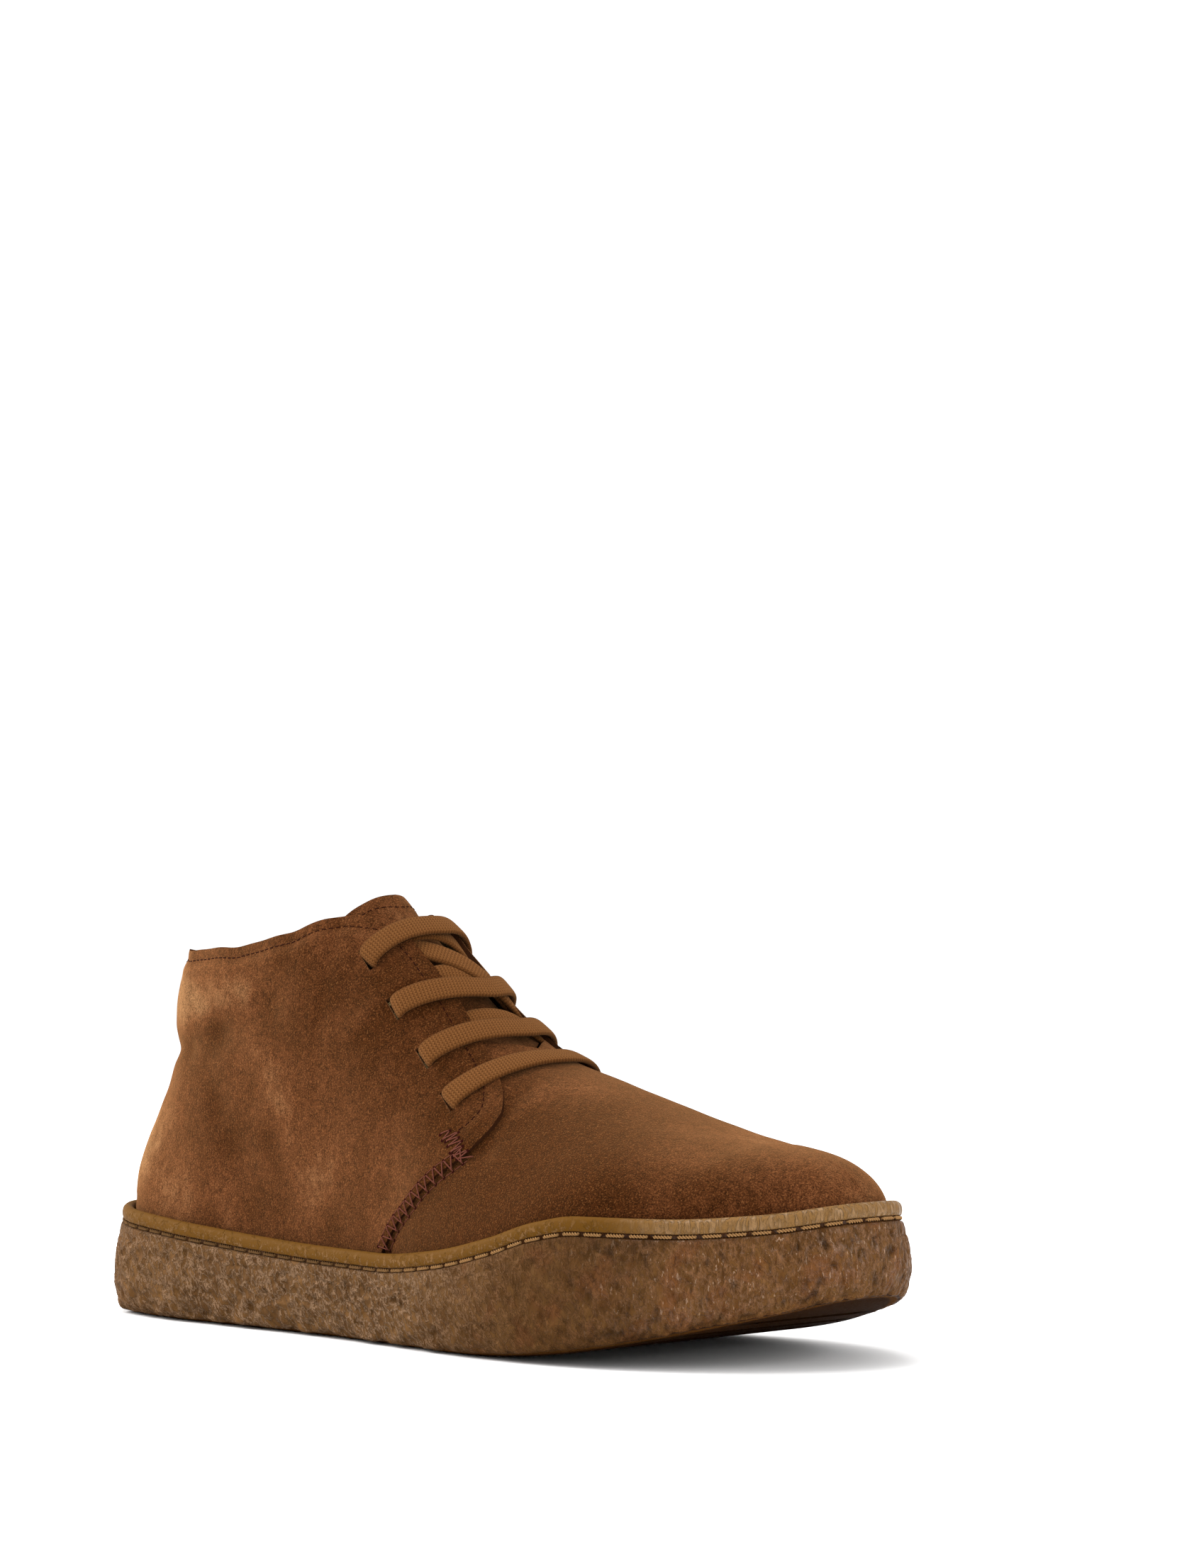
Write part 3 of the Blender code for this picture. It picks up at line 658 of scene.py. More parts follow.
def make_sole(settings):
    places = np.linspace(0, 1, SOLE_STATIONS + 1)
    at, inset, share, lift = wall_profile()
    rings = np.array([wall_ring(places, *row) for row in zip(inset, share, lift)])
    back = LENGTH / 2 - rings[..., 1] / MM
    relief = crepe_relief(rings, at[:, None] + 0 * back, back) * settings.crepe_depth / MM
    step = np.linalg.norm(np.gradient(rings, axis=0), axis=-1) / MM
    slope = np.gradient(relief, axis=0) / np.maximum(step, 0.3)
    # Painted light from above: faces turned up and ridge tops lighter, hollows darker.
    shade = np.full((len(rings) + 3, len(places)), FLAT_SHADE)
    by_height = HEIGHT_SHADE[0] + HEIGHT_SHADE[1] * ends_of(back)[1]
    shade[1:-2] = np.clip(FLAT_SHADE - SLOPE_SHADE * slope + by_height * relief, 0, 1)
    rings = rings + grid_normals(rings) * relief[..., None] * MM
    rings[:, -1] = rings[:, 0]
    floor = wall_ring(places, CUP_INSET, 0, 0)
    floor[:, 2] = footbed_height(outline(places, CUP_INSET)[:, 1]) * MM
    points = np.array([centre_ring(rings[0]), *rings, floor, centre_ring(floor)])
    run = run_at(places) * MM
    run[-1] = PERIMETER * MM
    level = np.r_[-1.0, at, 15, 16][:, None] + 0 * run
    uv = np.stack([run + 0 * level, points[..., 2]], -1)
    heel, toe = ends_of(LENGTH / 2 - points[..., 1] / MM)
    sole = lay_sheet("crepe_cupsole", points, uv, level=level, heel=heel, toe=toe, shade=shade)
    clean(sole)
    cutters = []
    left, right = (outline(half, TREAD_INSET) for half in (LATERAL_PLACES, 1 - LATERAL_PLACES))
    for back in np.arange(TREAD_RANGE[0], TREAD_RANGE[1], TREAD_PITCH):
        x0 = np.interp(back, left[:, 1], left[:, 0])
        x1 = np.interp(back, right[:, 1], right[:, 0])
        slope = float(tread_height(back + 1) - tread_height(back - 1)) / 2
        centre = ((x0 + x1) / 2 * MM, (LENGTH / 2 - back) * MM, float(tread_height(back)) * MM)
        size = ((x1 - x0) * MM, TREAD_GROOVE[0] * MM, 2 * TREAD_GROOVE[1] * MM)
        cutters.append(cube(centre, (-math.atan(slope), 0, 0), size))
    cut(sole, join("tread_cutter", cutters))
    coat(sole, crepe_paint(settings))
    settle(sole, "sole", 50)


def make_insole(settings):
    places = np.linspace(0, 1, INSOLE_STATIONS + 1)
    rings = []
    for inset, lift in INSOLE_RINGS:
        plan = outline(places, INSOLE_INSET + inset)
        rings.append(in_frame(np.column_stack([plan, lift + footbed_height(plan[:, 1])])))
    top = centre_ring(rings[-1])
    steps = [rings[-1] * (1 - s) + top * s for s in (0.25, 0.5, 0.75, 1)]
    insole = lay_sheet("textile_insole", np.array([centre_ring(rings[0]), *rings, *steps]))
    clean(insole)
    coat(insole, lining_paint("insole_textile", settings.lining_colour))
    settle(insole, "insole")


# ---- upper ----
QUARTER_ROWS, QUARTER_COLUMNS, UNDER_RIM_ROWS = 112, 128, 6
VAMP_ROWS, VAMP_COLUMNS, TOE_COLUMNS = 84, 90, 60
QUARTER_FOOT, VAMP_FOOT = -0.93, -0.95  # t of the lower edges hidden in the cup
SEATED = 0.06  # t above which the folds reach their full depth
HEEL_REACH = 34  # how far the heel's profile goes along the boot
SUEDE_ANGLE = 45  # degrees, above which an edge stays sharp
SLOT_CUT = 0.012  # depth of the slots' cutters in metres
# Listed folds: side (-1 lateral, 1 medial, 0 both), back and height of the start, back and height of the
# end, half width, depth (out is positive) and painted light (how much lighter the colour is painted there:
# painted light and shade over the folds, partly the nap's own tone).
QUARTER_FOLDS = (
    (0, 18, 84, 44, 84.5, 4.5, -0.9, -0.25), (0, 44, 84.5, 63, 89.7, 5.5, -1.1, -0.45),
    (0, 63, 89.7, 88, 96.5, 6.5, -0.9, -0.4), (0, 58, 81, 65, 66, 5.5, -0.5, -0.25),
    (0, 66, 64, 75, 52, 8.0, -0.4, -0.2), (0, 30, 99, 75, 102, 8.0, 0.9, 0.35),
    (0, 82, 87, 98, 70, 7.5, 0.5, 0.3), (0, 92, 58, 98, 40, 5.0, -0.2, -0.3),
    (0, 13, 47, 44, 70, 8.0, 0.4, 0.3), (0, 14, 90, 22, 76, 5.0, -0.4, -0.1),
    (0, 137, 105.8, 124.8, 92.1, 3.5, 0.3, 0.3), (0, 84, 38, 75, 53, 7.0, -0.3, -0.3),
    (0, 96, 112, 112, 104, 9.0, -0.5, -0.3), (0, 100, 88, 120, 80, 10.0, -0.3, -0.15),
    (0, 110, 52, 135, 40, 9.0, 0.2, 0.1), (0, 186, 61, 185, 71, 4.0, -0.45, -0.1),
    (0, 140, 98, 176, 62, 22.0, 0.0, -0.6), (0, 8, 88, 12, 110, 18.0, 0.0, 0.8),
    (0, 4, 34, 10, 50, 15.0, 0.0, 0.75), (0, 24, 52, 42, 39, 12.0, 0.0, 0.45),
    (0, 44, 72, 58, 58, 8.0, 0.0, -0.3), (0, 36, 101, 50, 96, 9.0, 0.0, 0.35),
    (0, 72, 35, 77, 45, 7.0, 0.0, 0.28), (0, 108, 37, 115, 51, 9.0, 0.0, 0.22),
    (0, 60, 33, 130, 33, 7.0, 0.0, -0.25),
)
VAMP_FOLDS = (
    (0, 187, 60, 186, 74, 4.0, -0.5, -0.4), (0, 176, 56, 188, 58, 4.0, -0.3, -0.4),
    (-1, 196, 66, 214, 58, 7.0, -0.5, -0.3), (1, 200, 66, 222, 56, 8.0, -0.5, -0.3),
    (-1, 232, 56, 262, 50, 9.0, -0.3, -0.35), (0, 210, 72, 250, 64, 12.0, 0.2, 0.25),
    (-1, 200, 44, 245, 46, 6.0, -0.2, -0.3), (1, 236, 56, 262, 50, 9.0, -0.3, -0.3),
    (0, 176, 44, 215, 54, 22.0, 0.0, -1.0), (0, 286, 52, 296, 50, 9.0, 0.0, 0.1),
)
HEEL_PROFILE = (  # height, and how far the worn heel stands out there
    (34, 0.2), (45, 1.4), (55, 1.1), (61, 0.5), (66, 0.0), (72, -0.9), (79, -1.5), (83.5, -2.3),
    (87, -1.0), (92, 0.1), (104, 0.1), (109, -1.0), (113, -2.1), (116, -2.4),
)
COLLAR_ROW = 3.4  # below the collar's edge
COLLAR_END = (122.4, 121.9)  # back and height where the collar's row meets the facing's
SEAM_EDGE = FRONT_EDGE[:7]  # the part of the front edge that is sewn to the vamp
FACING_ROW = (  # back and height of the stitches behind the facing's edge
    (122.4, 121.9), (128.1, 118.5), (133.4, 114.6), (140.2, 108.4), (147.2, 101.6), (154.3, 94.6),
    (161.8, 87.5), (169.5, 80.6), (176.4, 73.9), (178.8, 69.6), (177.6, 66.3), (174.6, 63.4),
)


def folds_at(folds, side, back, height):
    """Depth of the listed folds at places on one side, and their painted light and shade, partly the nap's
    own tone.
    """
    depth, tone = 0 * back, 0 * back
    for fold_side, b0, h0, b1, h1, width, out, shade in folds:
        length = math.hypot(b1 - b0, h1 - h0)
        share = np.clip(((back - b0) * (b1 - b0) + (height - h0) * (h1 - h0)) / length**2, 0, 1)
        far = np.hypot(back - b0 - share * (b1 - b0), height - h0 - share * (h1 - h0))
        near = bell(far, width) * (fold_side * side >= 0)
        depth = depth + out * near
        tone = tone + shade * near
    return depth, tone


def near_row(table, back, height, width):
    """1 on a stitched row, falling to 0 beside it."""
    run = np.array(table, float)
    at = np.linspace(0, len(run) - 1, 120)
    line = np.stack([np.interp(at, np.arange(len(run)), run[:, k]) for k in (0, 1)], -1)
    far = np.min(np.hypot(back[..., None] - line[:, 0], height[..., None] - line[:, 1]), axis=-1)
    return bell(far, width)


def collar_height(back):
    """Height of the collar's cut edge, a little wavy."""
    wave = np.sin(back / 4.3 + 1.0) * 0.28 + np.sin(back / 2.3) * 0.12
    return pairs(COLLAR, back) + wave * np.clip((118 - back) / 20, 0, 1)


def quarter_grid():
    """Places, t and side over both quarters, columns from the medial front edge round the heel."""
    v = np.linspace(0, 1, QUARTER_ROWS)[:, None]
    u = np.linspace(0, 1, QUARTER_COLUMNS)[None, :]
    halves = []
    for side in (-1, 1):
        front_places, front = front_edge(side, v[:, 0])
        front = np.maximum(front, section(front_places[:1])[0][0][1] + 8 * v[:, 0])
        heel = 0.0 if side < 0 else 1.0
        foot_places = heel + (front_places[0] - heel) * u
        top_places = heel + (front_places[-1] - heel) * u
        places = (1 - v) * foot_places + v * top_places
        places = places + u * (front_places[:, None] - (1 - v) * front_places[0] - v * front_places[-1])
        rim = section(foot_places)[0][0][1]
        top = collar_height(last_point(top_places, 0.0 * top_places)[..., 1])
        front = front[:, None]
        height = (1 - v) * rim + v * top + u * (front - (1 - v) * rim[0, -1] - v * top[0, -1])
        t = height_on_section(places, height) * (v > 0)
        below = np.linspace(QUARTER_FOOT, 0, UNDER_RIM_ROWS, endpoint=False)[:, None] + 0 * foot_places
        halves.append((np.vstack([foot_places + 0 * below, places]), np.vstack([below, t])))
    (lateral, lateral_t), (medial, medial_t) = halves
    places = np.hstack([medial[:, ::-1] - 1.0, lateral[:, 1:]])
    t = np.hstack([medial_t[:, ::-1], lateral_t[:, 1:]])
    side = np.hstack([1.0 + 0 * medial, -1.0 + 0 * lateral[:, 1:]])
    return places, t, side


def slot_frames(side):
    """Place and t of each slot, with the middle, direction and normal of its cut, in metres."""
    backs, heights, _ = np.array(SLOTS).T
    places = place_of(side, backs)
    t = height_on_section(places, heights)
    middle = on_last(places, t, 0 * t)
    along = unit(np.gradient(middle, axis=0))
    normal = on_last(places, t, 0 * t + 1000) - middle
    normal -= (normal * along).sum(1)[:, None] * along
    return places, t, middle, along, unit(normal)


def suede_relief(points, seed=0.0):
    """Low swells of a worn suede, in millimetres."""
    return 0.22 * grain(points, 30, 4.0 + seed) + 0.12 * grain(points, 11, 9.0 + seed)


def suede_wall(piece, lining, settings, thickness):
    """Paints a sheet of suede, its lining and its cut edge, and thickens it inward by millimetres."""
    coat(piece, suede_paint(settings), lining_paint(lining, settings.lining_colour), edge_paint(settings))
    thick = thickness * MM
    apply(piece, "SOLIDIFY", thickness=thick, offset=-1, material_offset=1, material_offset_rim=2)


def make_quarters(settings):
    places, t, side = quarter_grid()
    base = last_point(places, t)
    back, height = base[..., 1], base[..., 2]
    # The folds' depth, and their painted light and shade, partly the nap's own tone.
    depth, tone = folds_at(QUARTER_FOLDS, side, back, height)
    depth = depth * settings.fold_depth + suede_relief(in_frame(base))
    depth = depth + pairs(HEEL_PROFILE, height) * np.exp(-((back / HEEL_REACH) ** 4))
    under = collar_height(back) - height
    # The collar: a row pulled in by its stitches, a thinner edge above it with a little painted shade,
    # a swell and a painted highlight band below.
    depth = depth - 0.32 * bell(under - COLLAR_ROW, 1.2) - 0.12 * np.clip(COLLAR_ROW - under, 0, 4)
    depth = depth + 0.35 * bell(under - 6.8, 2.0)
    tone = tone - 0.04 * np.clip(1.5 - under / COLLAR_ROW, 0, 1) + 0.08 * bell(under - 5.6, 1.6)
    depth = depth - 0.3 * near_row(FACING_ROW, back, height, 1.0)
    # Along the seam: a groove, painted darker as shade.
    seam = near_row(SEAM_EDGE, back, height, 1.5)
    depth, tone = depth - 0.6 * seam, tone - 0.15 * seam
    points = on_last(places, t, QUARTER_LAYER[1] + depth * np.clip(t / SEATED, 0, 1))
    quarters = lay_sheet("suede_quarters", points, tone=tone)
    clean(quarters, outward=False)
    suede_wall(quarters, "quarter_lining", settings, QUARTER_LAYER[1] - QUARTER_LAYER[0])
    for side in (-1, 1):
        for _, _, middle, along, normal in zip(*slot_frames(side)):
            turned = np.column_stack([along, np.cross(normal, along), normal])
            size = (settings.slot_length, settings.slot_width, SLOT_CUT)
            cut(quarters, cube(middle, Matrix(turned.tolist()).to_euler(), size))
    settle(quarters, "upper", SUEDE_ANGLE)
    return quarters


def make_vamp(settings):
    under = np.linspace(VAMP_FOOT, 0, UNDER_RIM_ROWS, endpoint=False)
    t = np.r_[under, np.linspace(0, 1, VAMP_ROWS)][None, :]
    share = np.linspace(0, 1, VAMP_COLUMNS)[:, None]
    rear = vamp_back(t)
    halves = []
    for side in (1, -1):
        places = place_of(side, rear + share * (SPINE[1] - rear))
        fan = np.linspace(float(place_of(side, SPINE[1])), 0.5, TOE_COLUMNS + 1)[1:, None]
        halves.append(np.vstack([places, fan + 0 * t]))
    medial, lateral = halves
    places = np.hstack([medial, lateral[:, -2::-1]])
    t = np.hstack([t + 0 * medial, (t + 0 * lateral)[:, -2::-1]])
    side = np.hstack([1.0 + 0 * medial, -1.0 + 0 * lateral[:, 1:]])
    base = last_point(places, t)
    # The folds' depth, and their painted light and shade, partly the nap's own tone.
    depth, tone = folds_at(VAMP_FOLDS, side, base[..., 1], base[..., 2])
    depth = depth * settings.fold_depth + suede_relief(in_frame(base), 20.0)
    # Along the seam: a groove, painted darker as shade.
    seam = near_row(SEAM_EDGE, base[..., 1], base[..., 2], 1.5)
    depth, tone = depth - 0.3 * seam, tone - 0.3 * seam
    points = on_last(places, t, VAMP_LAYER[1] + depth * np.clip(t / SEATED, 0, 1))
    vamp = lay_sheet("suede_vamp", points, tone=tone)
    clean(vamp, merge=0.05, outward=False)
    suede_wall(vamp, "vamp_lining", settings, VAMP_LAYER[1] - VAMP_LAYER[0])
    settle(vamp, "upper", SUEDE_ANGLE)
    return vamp


TONGUE_ROWS, TONGUE_COLUMNS = 72, 44
TONGUE_THICK = 2.4
TONGUE_SINK = (  # distance behind the vamp's edge, depth under the last
    (0, 1.6), (14, 3.4), (32, 3.9), (48, 3.2), (60, 2.3),
)


def tongue_top(t):
    """Place along the boot of the tongue's top edge."""
    return TONGUE_TOP[0] - TONGUE_TOP[1] * ((1 - t) / (1 - TONGUE_SIDE)) ** 1.5


def make_tongue(settings):
    halves = []
    for side in (-1, 1):
        t = np.linspace(TONGUE_SIDE, 1, TONGUE_COLUMNS)[None, :]
        low = vamp_back(t) - 2 * GAP
        back = low + (tongue_top(t) - low) * np.linspace(0, 1, TONGUE_ROWS)[:, None]
        sink = pairs(TONGUE_SINK, low - back)
        places = place_of(side, back)
        halves.append(on_last(places, t + 0 * back, -sink))
    points = np.concatenate([halves[0], halves[1][:, -2::-1]], axis=1)
    tongue = lay_sheet("suede_tongue", points, tone=0 * points[..., 0])
    suede_wall(tongue, "tongue_lining", settings, TONGUE_THICK)
    settle(tongue, "tongue", SUEDE_ANGLE)
    return tongue


# ---- lace ----
LACE_ROUND = 24  # points around the lace
LACE_STEP = 0.0009  # between the lace's rings, in metres
LACE_SQUARE = (0.55, 0.8)  # powers that square the lace's section, across and up
BAR_LIFTS = (2.9, 2.9, 2.6, 1.7)  # height of each bar over the last at the ridge
BAR_FOOT = 2.45  # and where it turns into its slot
BEND_START, BEND_RADIUS, BEND_AWAY = 0.6, 1.8, -0.1  # a bar's bend: height, radius, place across the slot
LACE_END = ((-4.4, -1.8), (-3.0, -0.4), (-1.2, 0.0))  # height and place across, inside a slot
CROSSING_SINK = 2.6  # depth of a crossing's ends under the last
CROSSING_LIFTS = (0.2, 1.0)  # height at the middle of the short crossings and of the long one


def resample(points, step):
    """Points at an even step in metres along a polyline, with extra columns carried along."""
    run = running(points[:, :3])
    count = max(int(round(run[-1] / step)), 2)
    at = np.linspace(0, run[-1], count + 1)
    return np.stack([np.interp(at, run, points[:, k]) for k in range(points.shape[1])], -1), at


def soften(values, rounds):
    """Averages each row with its neighbours, the ends held."""
    for _ in range(rounds):
        values[1:-1] = (values[:-2] + 2 * values[1:-1] + values[2:]) / 4
    return values


def ribbon(name, points, widths, settings):
    """A flat woven lace along a path, widths giving the direction of its width at each point."""
    path, run = resample(np.hstack([points, widths]), LACE_STEP)
    path[:, :3] = soften(path[:, :3], 6)
    path[:, 3:] = soften(path[:, 3:], 8)
    points, width = path[:, :3], path[:, 3:]
    tangent = unit(np.gradient(points, axis=0))
    width = unit(width - (width * tangent).sum(1)[:, None] * tangent)
    normal = np.cross(tangent, width)
    angle = np.linspace(0, 2 * math.pi, LACE_ROUND + 1)
    across = np.sign(np.cos(angle)) * abs(np.cos(angle)) ** LACE_SQUARE[0] * settings.width / 2
    up = np.sign(np.sin(angle)) * abs(np.sin(angle)) ** LACE_SQUARE[1] * settings.thickness / 2
    rings = points[:, None] + width[:, None] * across[None, :, None] + normal[:, None] * up[None, :, None]
    uv = np.stack([across[None, :] + 0 * run[:, None], run[:, None] + 0 * across[None, :]], -1)
    lace = lay_sheet(name, rings, uv)
    clean(lace)
    edit(lace, (bpy.ops.mesh.fill_holes, {"sides": 0}), OUTWARD)
    return lace


def bar_run(index):
    """A bar from the lateral slot over the throat into the medial slot, diving into both."""
    halves = []
    for side in (-1, 1):
        _, t_slot, middle, _, normal = (value[index] for value in slot_frames(side))
        back, _, ridge = SLOTS[index]
        share = np.linspace(1.0, 0, 40)
        places = place_of(side, ridge + (back - ridge) * share**BAR_BEND)
        lift = BAR_LIFTS[index] + (BAR_FOOT - BAR_LIFTS[index]) * share**4
        over = on_last(places, 1 - (1 - t_slot) * share, lift)
        lifted = on_last(places, 1 - (1 - t_slot) * share, lift + 1)
        width = unit(np.cross(lifted - over, np.gradient(over, axis=0)))
        out = over[0] - over[6]
        out = unit(out - (out @ normal) * normal)
        clear = (middle - over) @ out > BEND_RADIUS * MM
        steps = [(up, BEND_AWAY + away) for up, away in LACE_END]
        for turn in np.radians(np.linspace(0, 90, 6))[:-1]:
            away = BEND_AWAY - BEND_RADIUS + BEND_RADIUS * math.cos(turn)
            steps.append((BEND_START + BEND_RADIUS * math.sin(turn), away))
        into = np.array([middle + (normal * up + out * away) * MM for up, away in steps])
        across = np.cross(out, normal)
        points = np.vstack([into, over[clear]])
        widths = np.vstack([np.repeat([across], len(into), 0), width[clear]])
        halves.append((points, widths))
    points = np.vstack([halves[0][0], halves[1][0][-2::-1]])
    widths = np.vstack([halves[0][1], -halves[1][1][-2::-1]])
    return points, widths


def out_on_section(place, out):
    """The t at which a section is this far from the spine."""
    t = np.linspace(1, 0.3, 141)
    point = last_point(place, t)
    return np.interp(abs(out), abs(point[:, 0] - pairs(SPINE_X, point[:, 1])), t)


def crossing_run(low, high, lift):
    """Under the bars, from the medial slot of one row up to the lateral slot of a higher one."""
    ends = []
    for side, index in ((1, low), (-1, high)):
        _, _, middle, _, _ = (value[index] for value in slot_frames(side))
        back = LENGTH / 2 - middle[1] / MM
        ends.append((back, middle[0] / MM - float(pairs(SPINE_X, back))))
    share = np.linspace(0, 1, 41)
    back = ends[0][0] + (ends[1][0] - ends[0][0]) * share
    out = ends[0][1] + (ends[1][1] - ends[0][1]) * share
    points, normals = [], []
    for b, o, s in zip(back, out, share):
        place = float(place_of(1 if o > 0 else -1, b))
        rise = (lift + CROSSING_SINK) * math.sin(math.pi * s) ** 2
        t = out_on_section(place, o)
        points.append(on_last(place, t, -CROSSING_SINK + rise))
        normals.append(on_last(place, t, 1 - CROSSING_SINK + rise) - points[-1])
    return np.array(points), unit(np.cross(np.array(normals), np.gradient(np.array(points), axis=0)))


def make_lace(settings):
    runs = [ribbon(f"bar_{k}", *bar_run(k), settings) for k in range(len(SLOTS))]
    last = len(SLOTS) - 1
    under = [(k + 1, k, CROSSING_LIFTS[0]) for k in range(last)] + [(last, 0, CROSSING_LIFTS[1])]
    runs += [ribbon(f"crossing_{n}", *crossing_run(*run), settings) for n, run in enumerate(under)]
    lace = join("flat_lace", runs)
    coat(lace, lace_paint(settings))
    settle(lace, "lace", 60)


# ---- stitches ----
STITCH_STEP = 0.0004  # metres between the points of a sewn line
STITCH_REACH = 0.0006  # metres each way over which a stitch takes the line's direction
RIM_LINE = (2.8, 1, -4.9)  # inset, share and lift of the rim's stitches, as in WALL
RIM_STITCH = 5.8  # length of a stitch
RIM_DULL = 0.85  # how much of the rim's thread is dulled at the heel
ROW_STITCH = (2.1, 0.3)  # length and radius of a fine stitch


def twisted_stitch(length, radius, plies=2, rings=16, around=6, turns=2.4):
    """Points, faces and map of one stitch of twisted thread along X, its ends dipping down Z."""
    points, faces, uv = [], [], []
    for ply in range(plies):
        start = len(points)
        for k in range(rings + 1):
            s = k / rings
            end = min(1.0, (0.12 + math.sin(math.pi * s) * 2.6)) ** 0.5
            turn = 2 * math.pi * (s * turns + ply / plies)
            middle = Vector((
                (s - 0.5) * length,
                math.cos(turn) * radius * 0.5 * end,
                math.sin(turn) * radius * 0.5 * end - radius * 2.2 * (1 - end),
            ))
            for m in range(around):
                a = 2 * math.pi * m / around
                points.append(middle + Vector((0, math.cos(a), math.sin(a))) * radius * 0.58 * end)
                uv.append((m / around, s))
        for k in range(rings):
            for m in range(around):
                n = (m + 1) % around
                a, b = start + k * around, start + (k + 1) * around
                faces.append((a + m, b + m, b + n, a + n))
        faces.append([start + m for m in range(around)])
        faces.append([start + rings * around + m for m in range(around)][::-1])
    return np.array(points), faces, np.array(uv)


def plain_stitch(length, radius, rings=6, around=6):
    """Points, faces and map of one stitch of fine thread along X."""
    return twisted_stitch(length, radius, 1, rings, around, 0.0)


def disc(radius, sides=8):
    """A small flat dark disc for a needle hole, its colour painted shade, facing up Z."""
    turns = [2 * math.pi * k / sides for k in range(sides)]
    ring = [(radius * math.cos(turn), radius * math.sin(turn), 0.0) for turn in turns]
    top = [(x * 0.7, y * 0.7, 0.06) for x, y, _ in ring]
    faces = [(k, (k + 1) % sides, sides + (k + 1) % sides, sides + k) for k in range(sides)]
    faces += [tuple(range(sides, 2 * sides)), tuple(range(sides))[::-1]]
    return np.array(ring + top), faces, np.array([(x, y) for x, y, _ in ring + top])


def scatter(name, pattern, frames, paint, node):
    """One joined mesh of copies of a pattern, each placed by (origin, x, y, z) in metres."""
    points, faces, uv = pattern
    placed = [o + points @ np.array([x, y, z]) * MM for o, x, y, z in frames]
    mesh = bpy.data.meshes.new(name)
    count = len(points)
    every = [[k * count + i for i in face] for k in range(len(frames)) for face in faces]
    mesh.from_pydata(np.vstack(placed).tolist(), [], every)
    set_map(mesh, mesh.uv_layers.new(name="UVMap"), np.tile(uv, (len(frames), 1)))
    piece = bpy.data.objects.new(name, mesh)
    bpy.context.scene.collection.objects.link(piece)
    clean(piece, merge=0.001)
    coat(piece, paint)
    settle(piece, node, 80)


def frames_along(points, outs, pitch):
    """Even places along a path in metres: (origin, forward, side, out) for each."""
    path, run = resample(np.hstack([points, outs]), STITCH_STEP)
    count = int(round(run[-1] / pitch))
    frames = []
    for s in (np.arange(count) + 0.5) * run[-1] / count:
        here, ahead = (
            np.array([np.interp(s + d, run, path[:, k]) for k in range(6)])
            for d in (-STITCH_REACH, STITCH_REACH)
        )
        x = unit(ahead[:3] - here[:3])
        z = here[3:] + ahead[3:]
        z = unit(z - (z @ x) * x)
        frames.append(((here[:3] + ahead[:3]) / 2, x, np.cross(z, x), z))
    return frames


def make_rim_stitches(settings):
    places = np.linspace(0, 1, 1201)
    inset, share, lift = RIM_LINE
    line = wall_ring(places, inset, share, lift)
    outs = wall_ring(places, inset - 1, share, lift) - line
    outs[:, 2] = 0
    frames = frames_along(line, outs / MM, settings.stitch_pitch)
    pattern = twisted_stitch(RIM_STITCH, settings.stitch_thickness / MM / 2, rings=26, turns=3.2)
    thread = thread_paint("rim_thread", settings.thread_colour, RIM_DULL)
    scatter("rim_stitches", pattern, frames, thread, "sole")


def on_surface(surface, points):
    """Points and normals where these lie on a finished surface."""
    found = [surface.find_nearest(point.tolist()) for point in points]
    return np.array([hit[0] for hit in found]), np.array([hit[1] for hit in found])


def above(side, back, height):
    """Points just outside the upper on one side."""
    places = place_of(side, back)
    return on_last(places, height_on_section(places, height), 1.5)


def side_line(side, table, steps=200):
    """Points just above the last along a table of back and height, on one side."""
    rows = np.array(table, float)
    run = running(rows)
    at = np.linspace(0, run[-1], steps)
    back, height = smooth(run, rows[:, 0], at), smooth(run, rows[:, 1], at)
    return above(side, back, height)


def shifted(points, normals, distance):
    """The same line moved across the surface, to the right seen from outside, by millimetres."""
    tangent = np.gradient(points, axis=0)
    return points + unit(np.cross(tangent, normals)) * distance * MM


def stitch_row(line, surface, pitch):
    points, normals = on_surface(surface, line)
    return frames_along(points, normals, pitch)


def leg(start, end, normal, lift):
    """A frame whose X runs from start to end and is that long, for a stitch of length 1."""
    x = end - start
    z = unit(normal - (normal @ x) * x / (x @ x))
    return (start + end) / 2 + z * lift * MM, x / MM, np.cross(z, unit(x)), z


SEAM_TOP = (180.4, 57.2)  # back and height where the zigzag ends under the bar tack
SEAM_PITCH = 3.6  # from one zigzag to the next
SEAM_HALF = 2.2  # half the zigzag's width
ZIGZAG_RADIUS, LINE_RADIUS = 0.38, 0.22  # of the slanted and the straight threads
HOLE_RADIUS = 0.55
# Colour of the needle holes' discs: painted shade where the holes would be.
HOLE_SHADE_COLOUR = (0.02, 0.004, 0.003)
TONGUE_ROW = (0.015, 3.6)  # the tongue's stitches: t in from the side edge, distance below the top edge
SEAM_LAG = 0.42  # how far a rear hole lags behind its front one, as a share of the pitch
HOLE_LIFT = 0.0001  # metres above the surface
TACK = (  # back and height of the bar tack's holes, in the order they are sewn
    (168.9, 62.0), (172.0, 63.2), (170.4, 60.4), (175.4, 62.9), (171.9, 60.0), (176.4, 61.4),
    (173.4, 58.8), (178.2, 60.4), (175.2, 57.0), (179.2, 59.0), (176.6, 55.8), (181.4, 58.0),
    (178.8, 54.8), (183.6, 57.0),
)


def on_curve(surface, curve, run, s):
    """Point and normal on a surface at a running length along a curve beside it."""
    point = np.array([np.interp(s, run, curve[:, k]) for k in range(3)])
    points, normals = on_surface(surface, [point])
    return points[0], normals[0]


def hole_at(point, normal, lift=HOLE_LIFT):
    """A frame for a needle hole, its Z along the normal."""
    x = unit(np.cross(normal, (0.0, 0.3, 1.0)))
    return point + normal * lift, x, np.cross(normal, x), normal


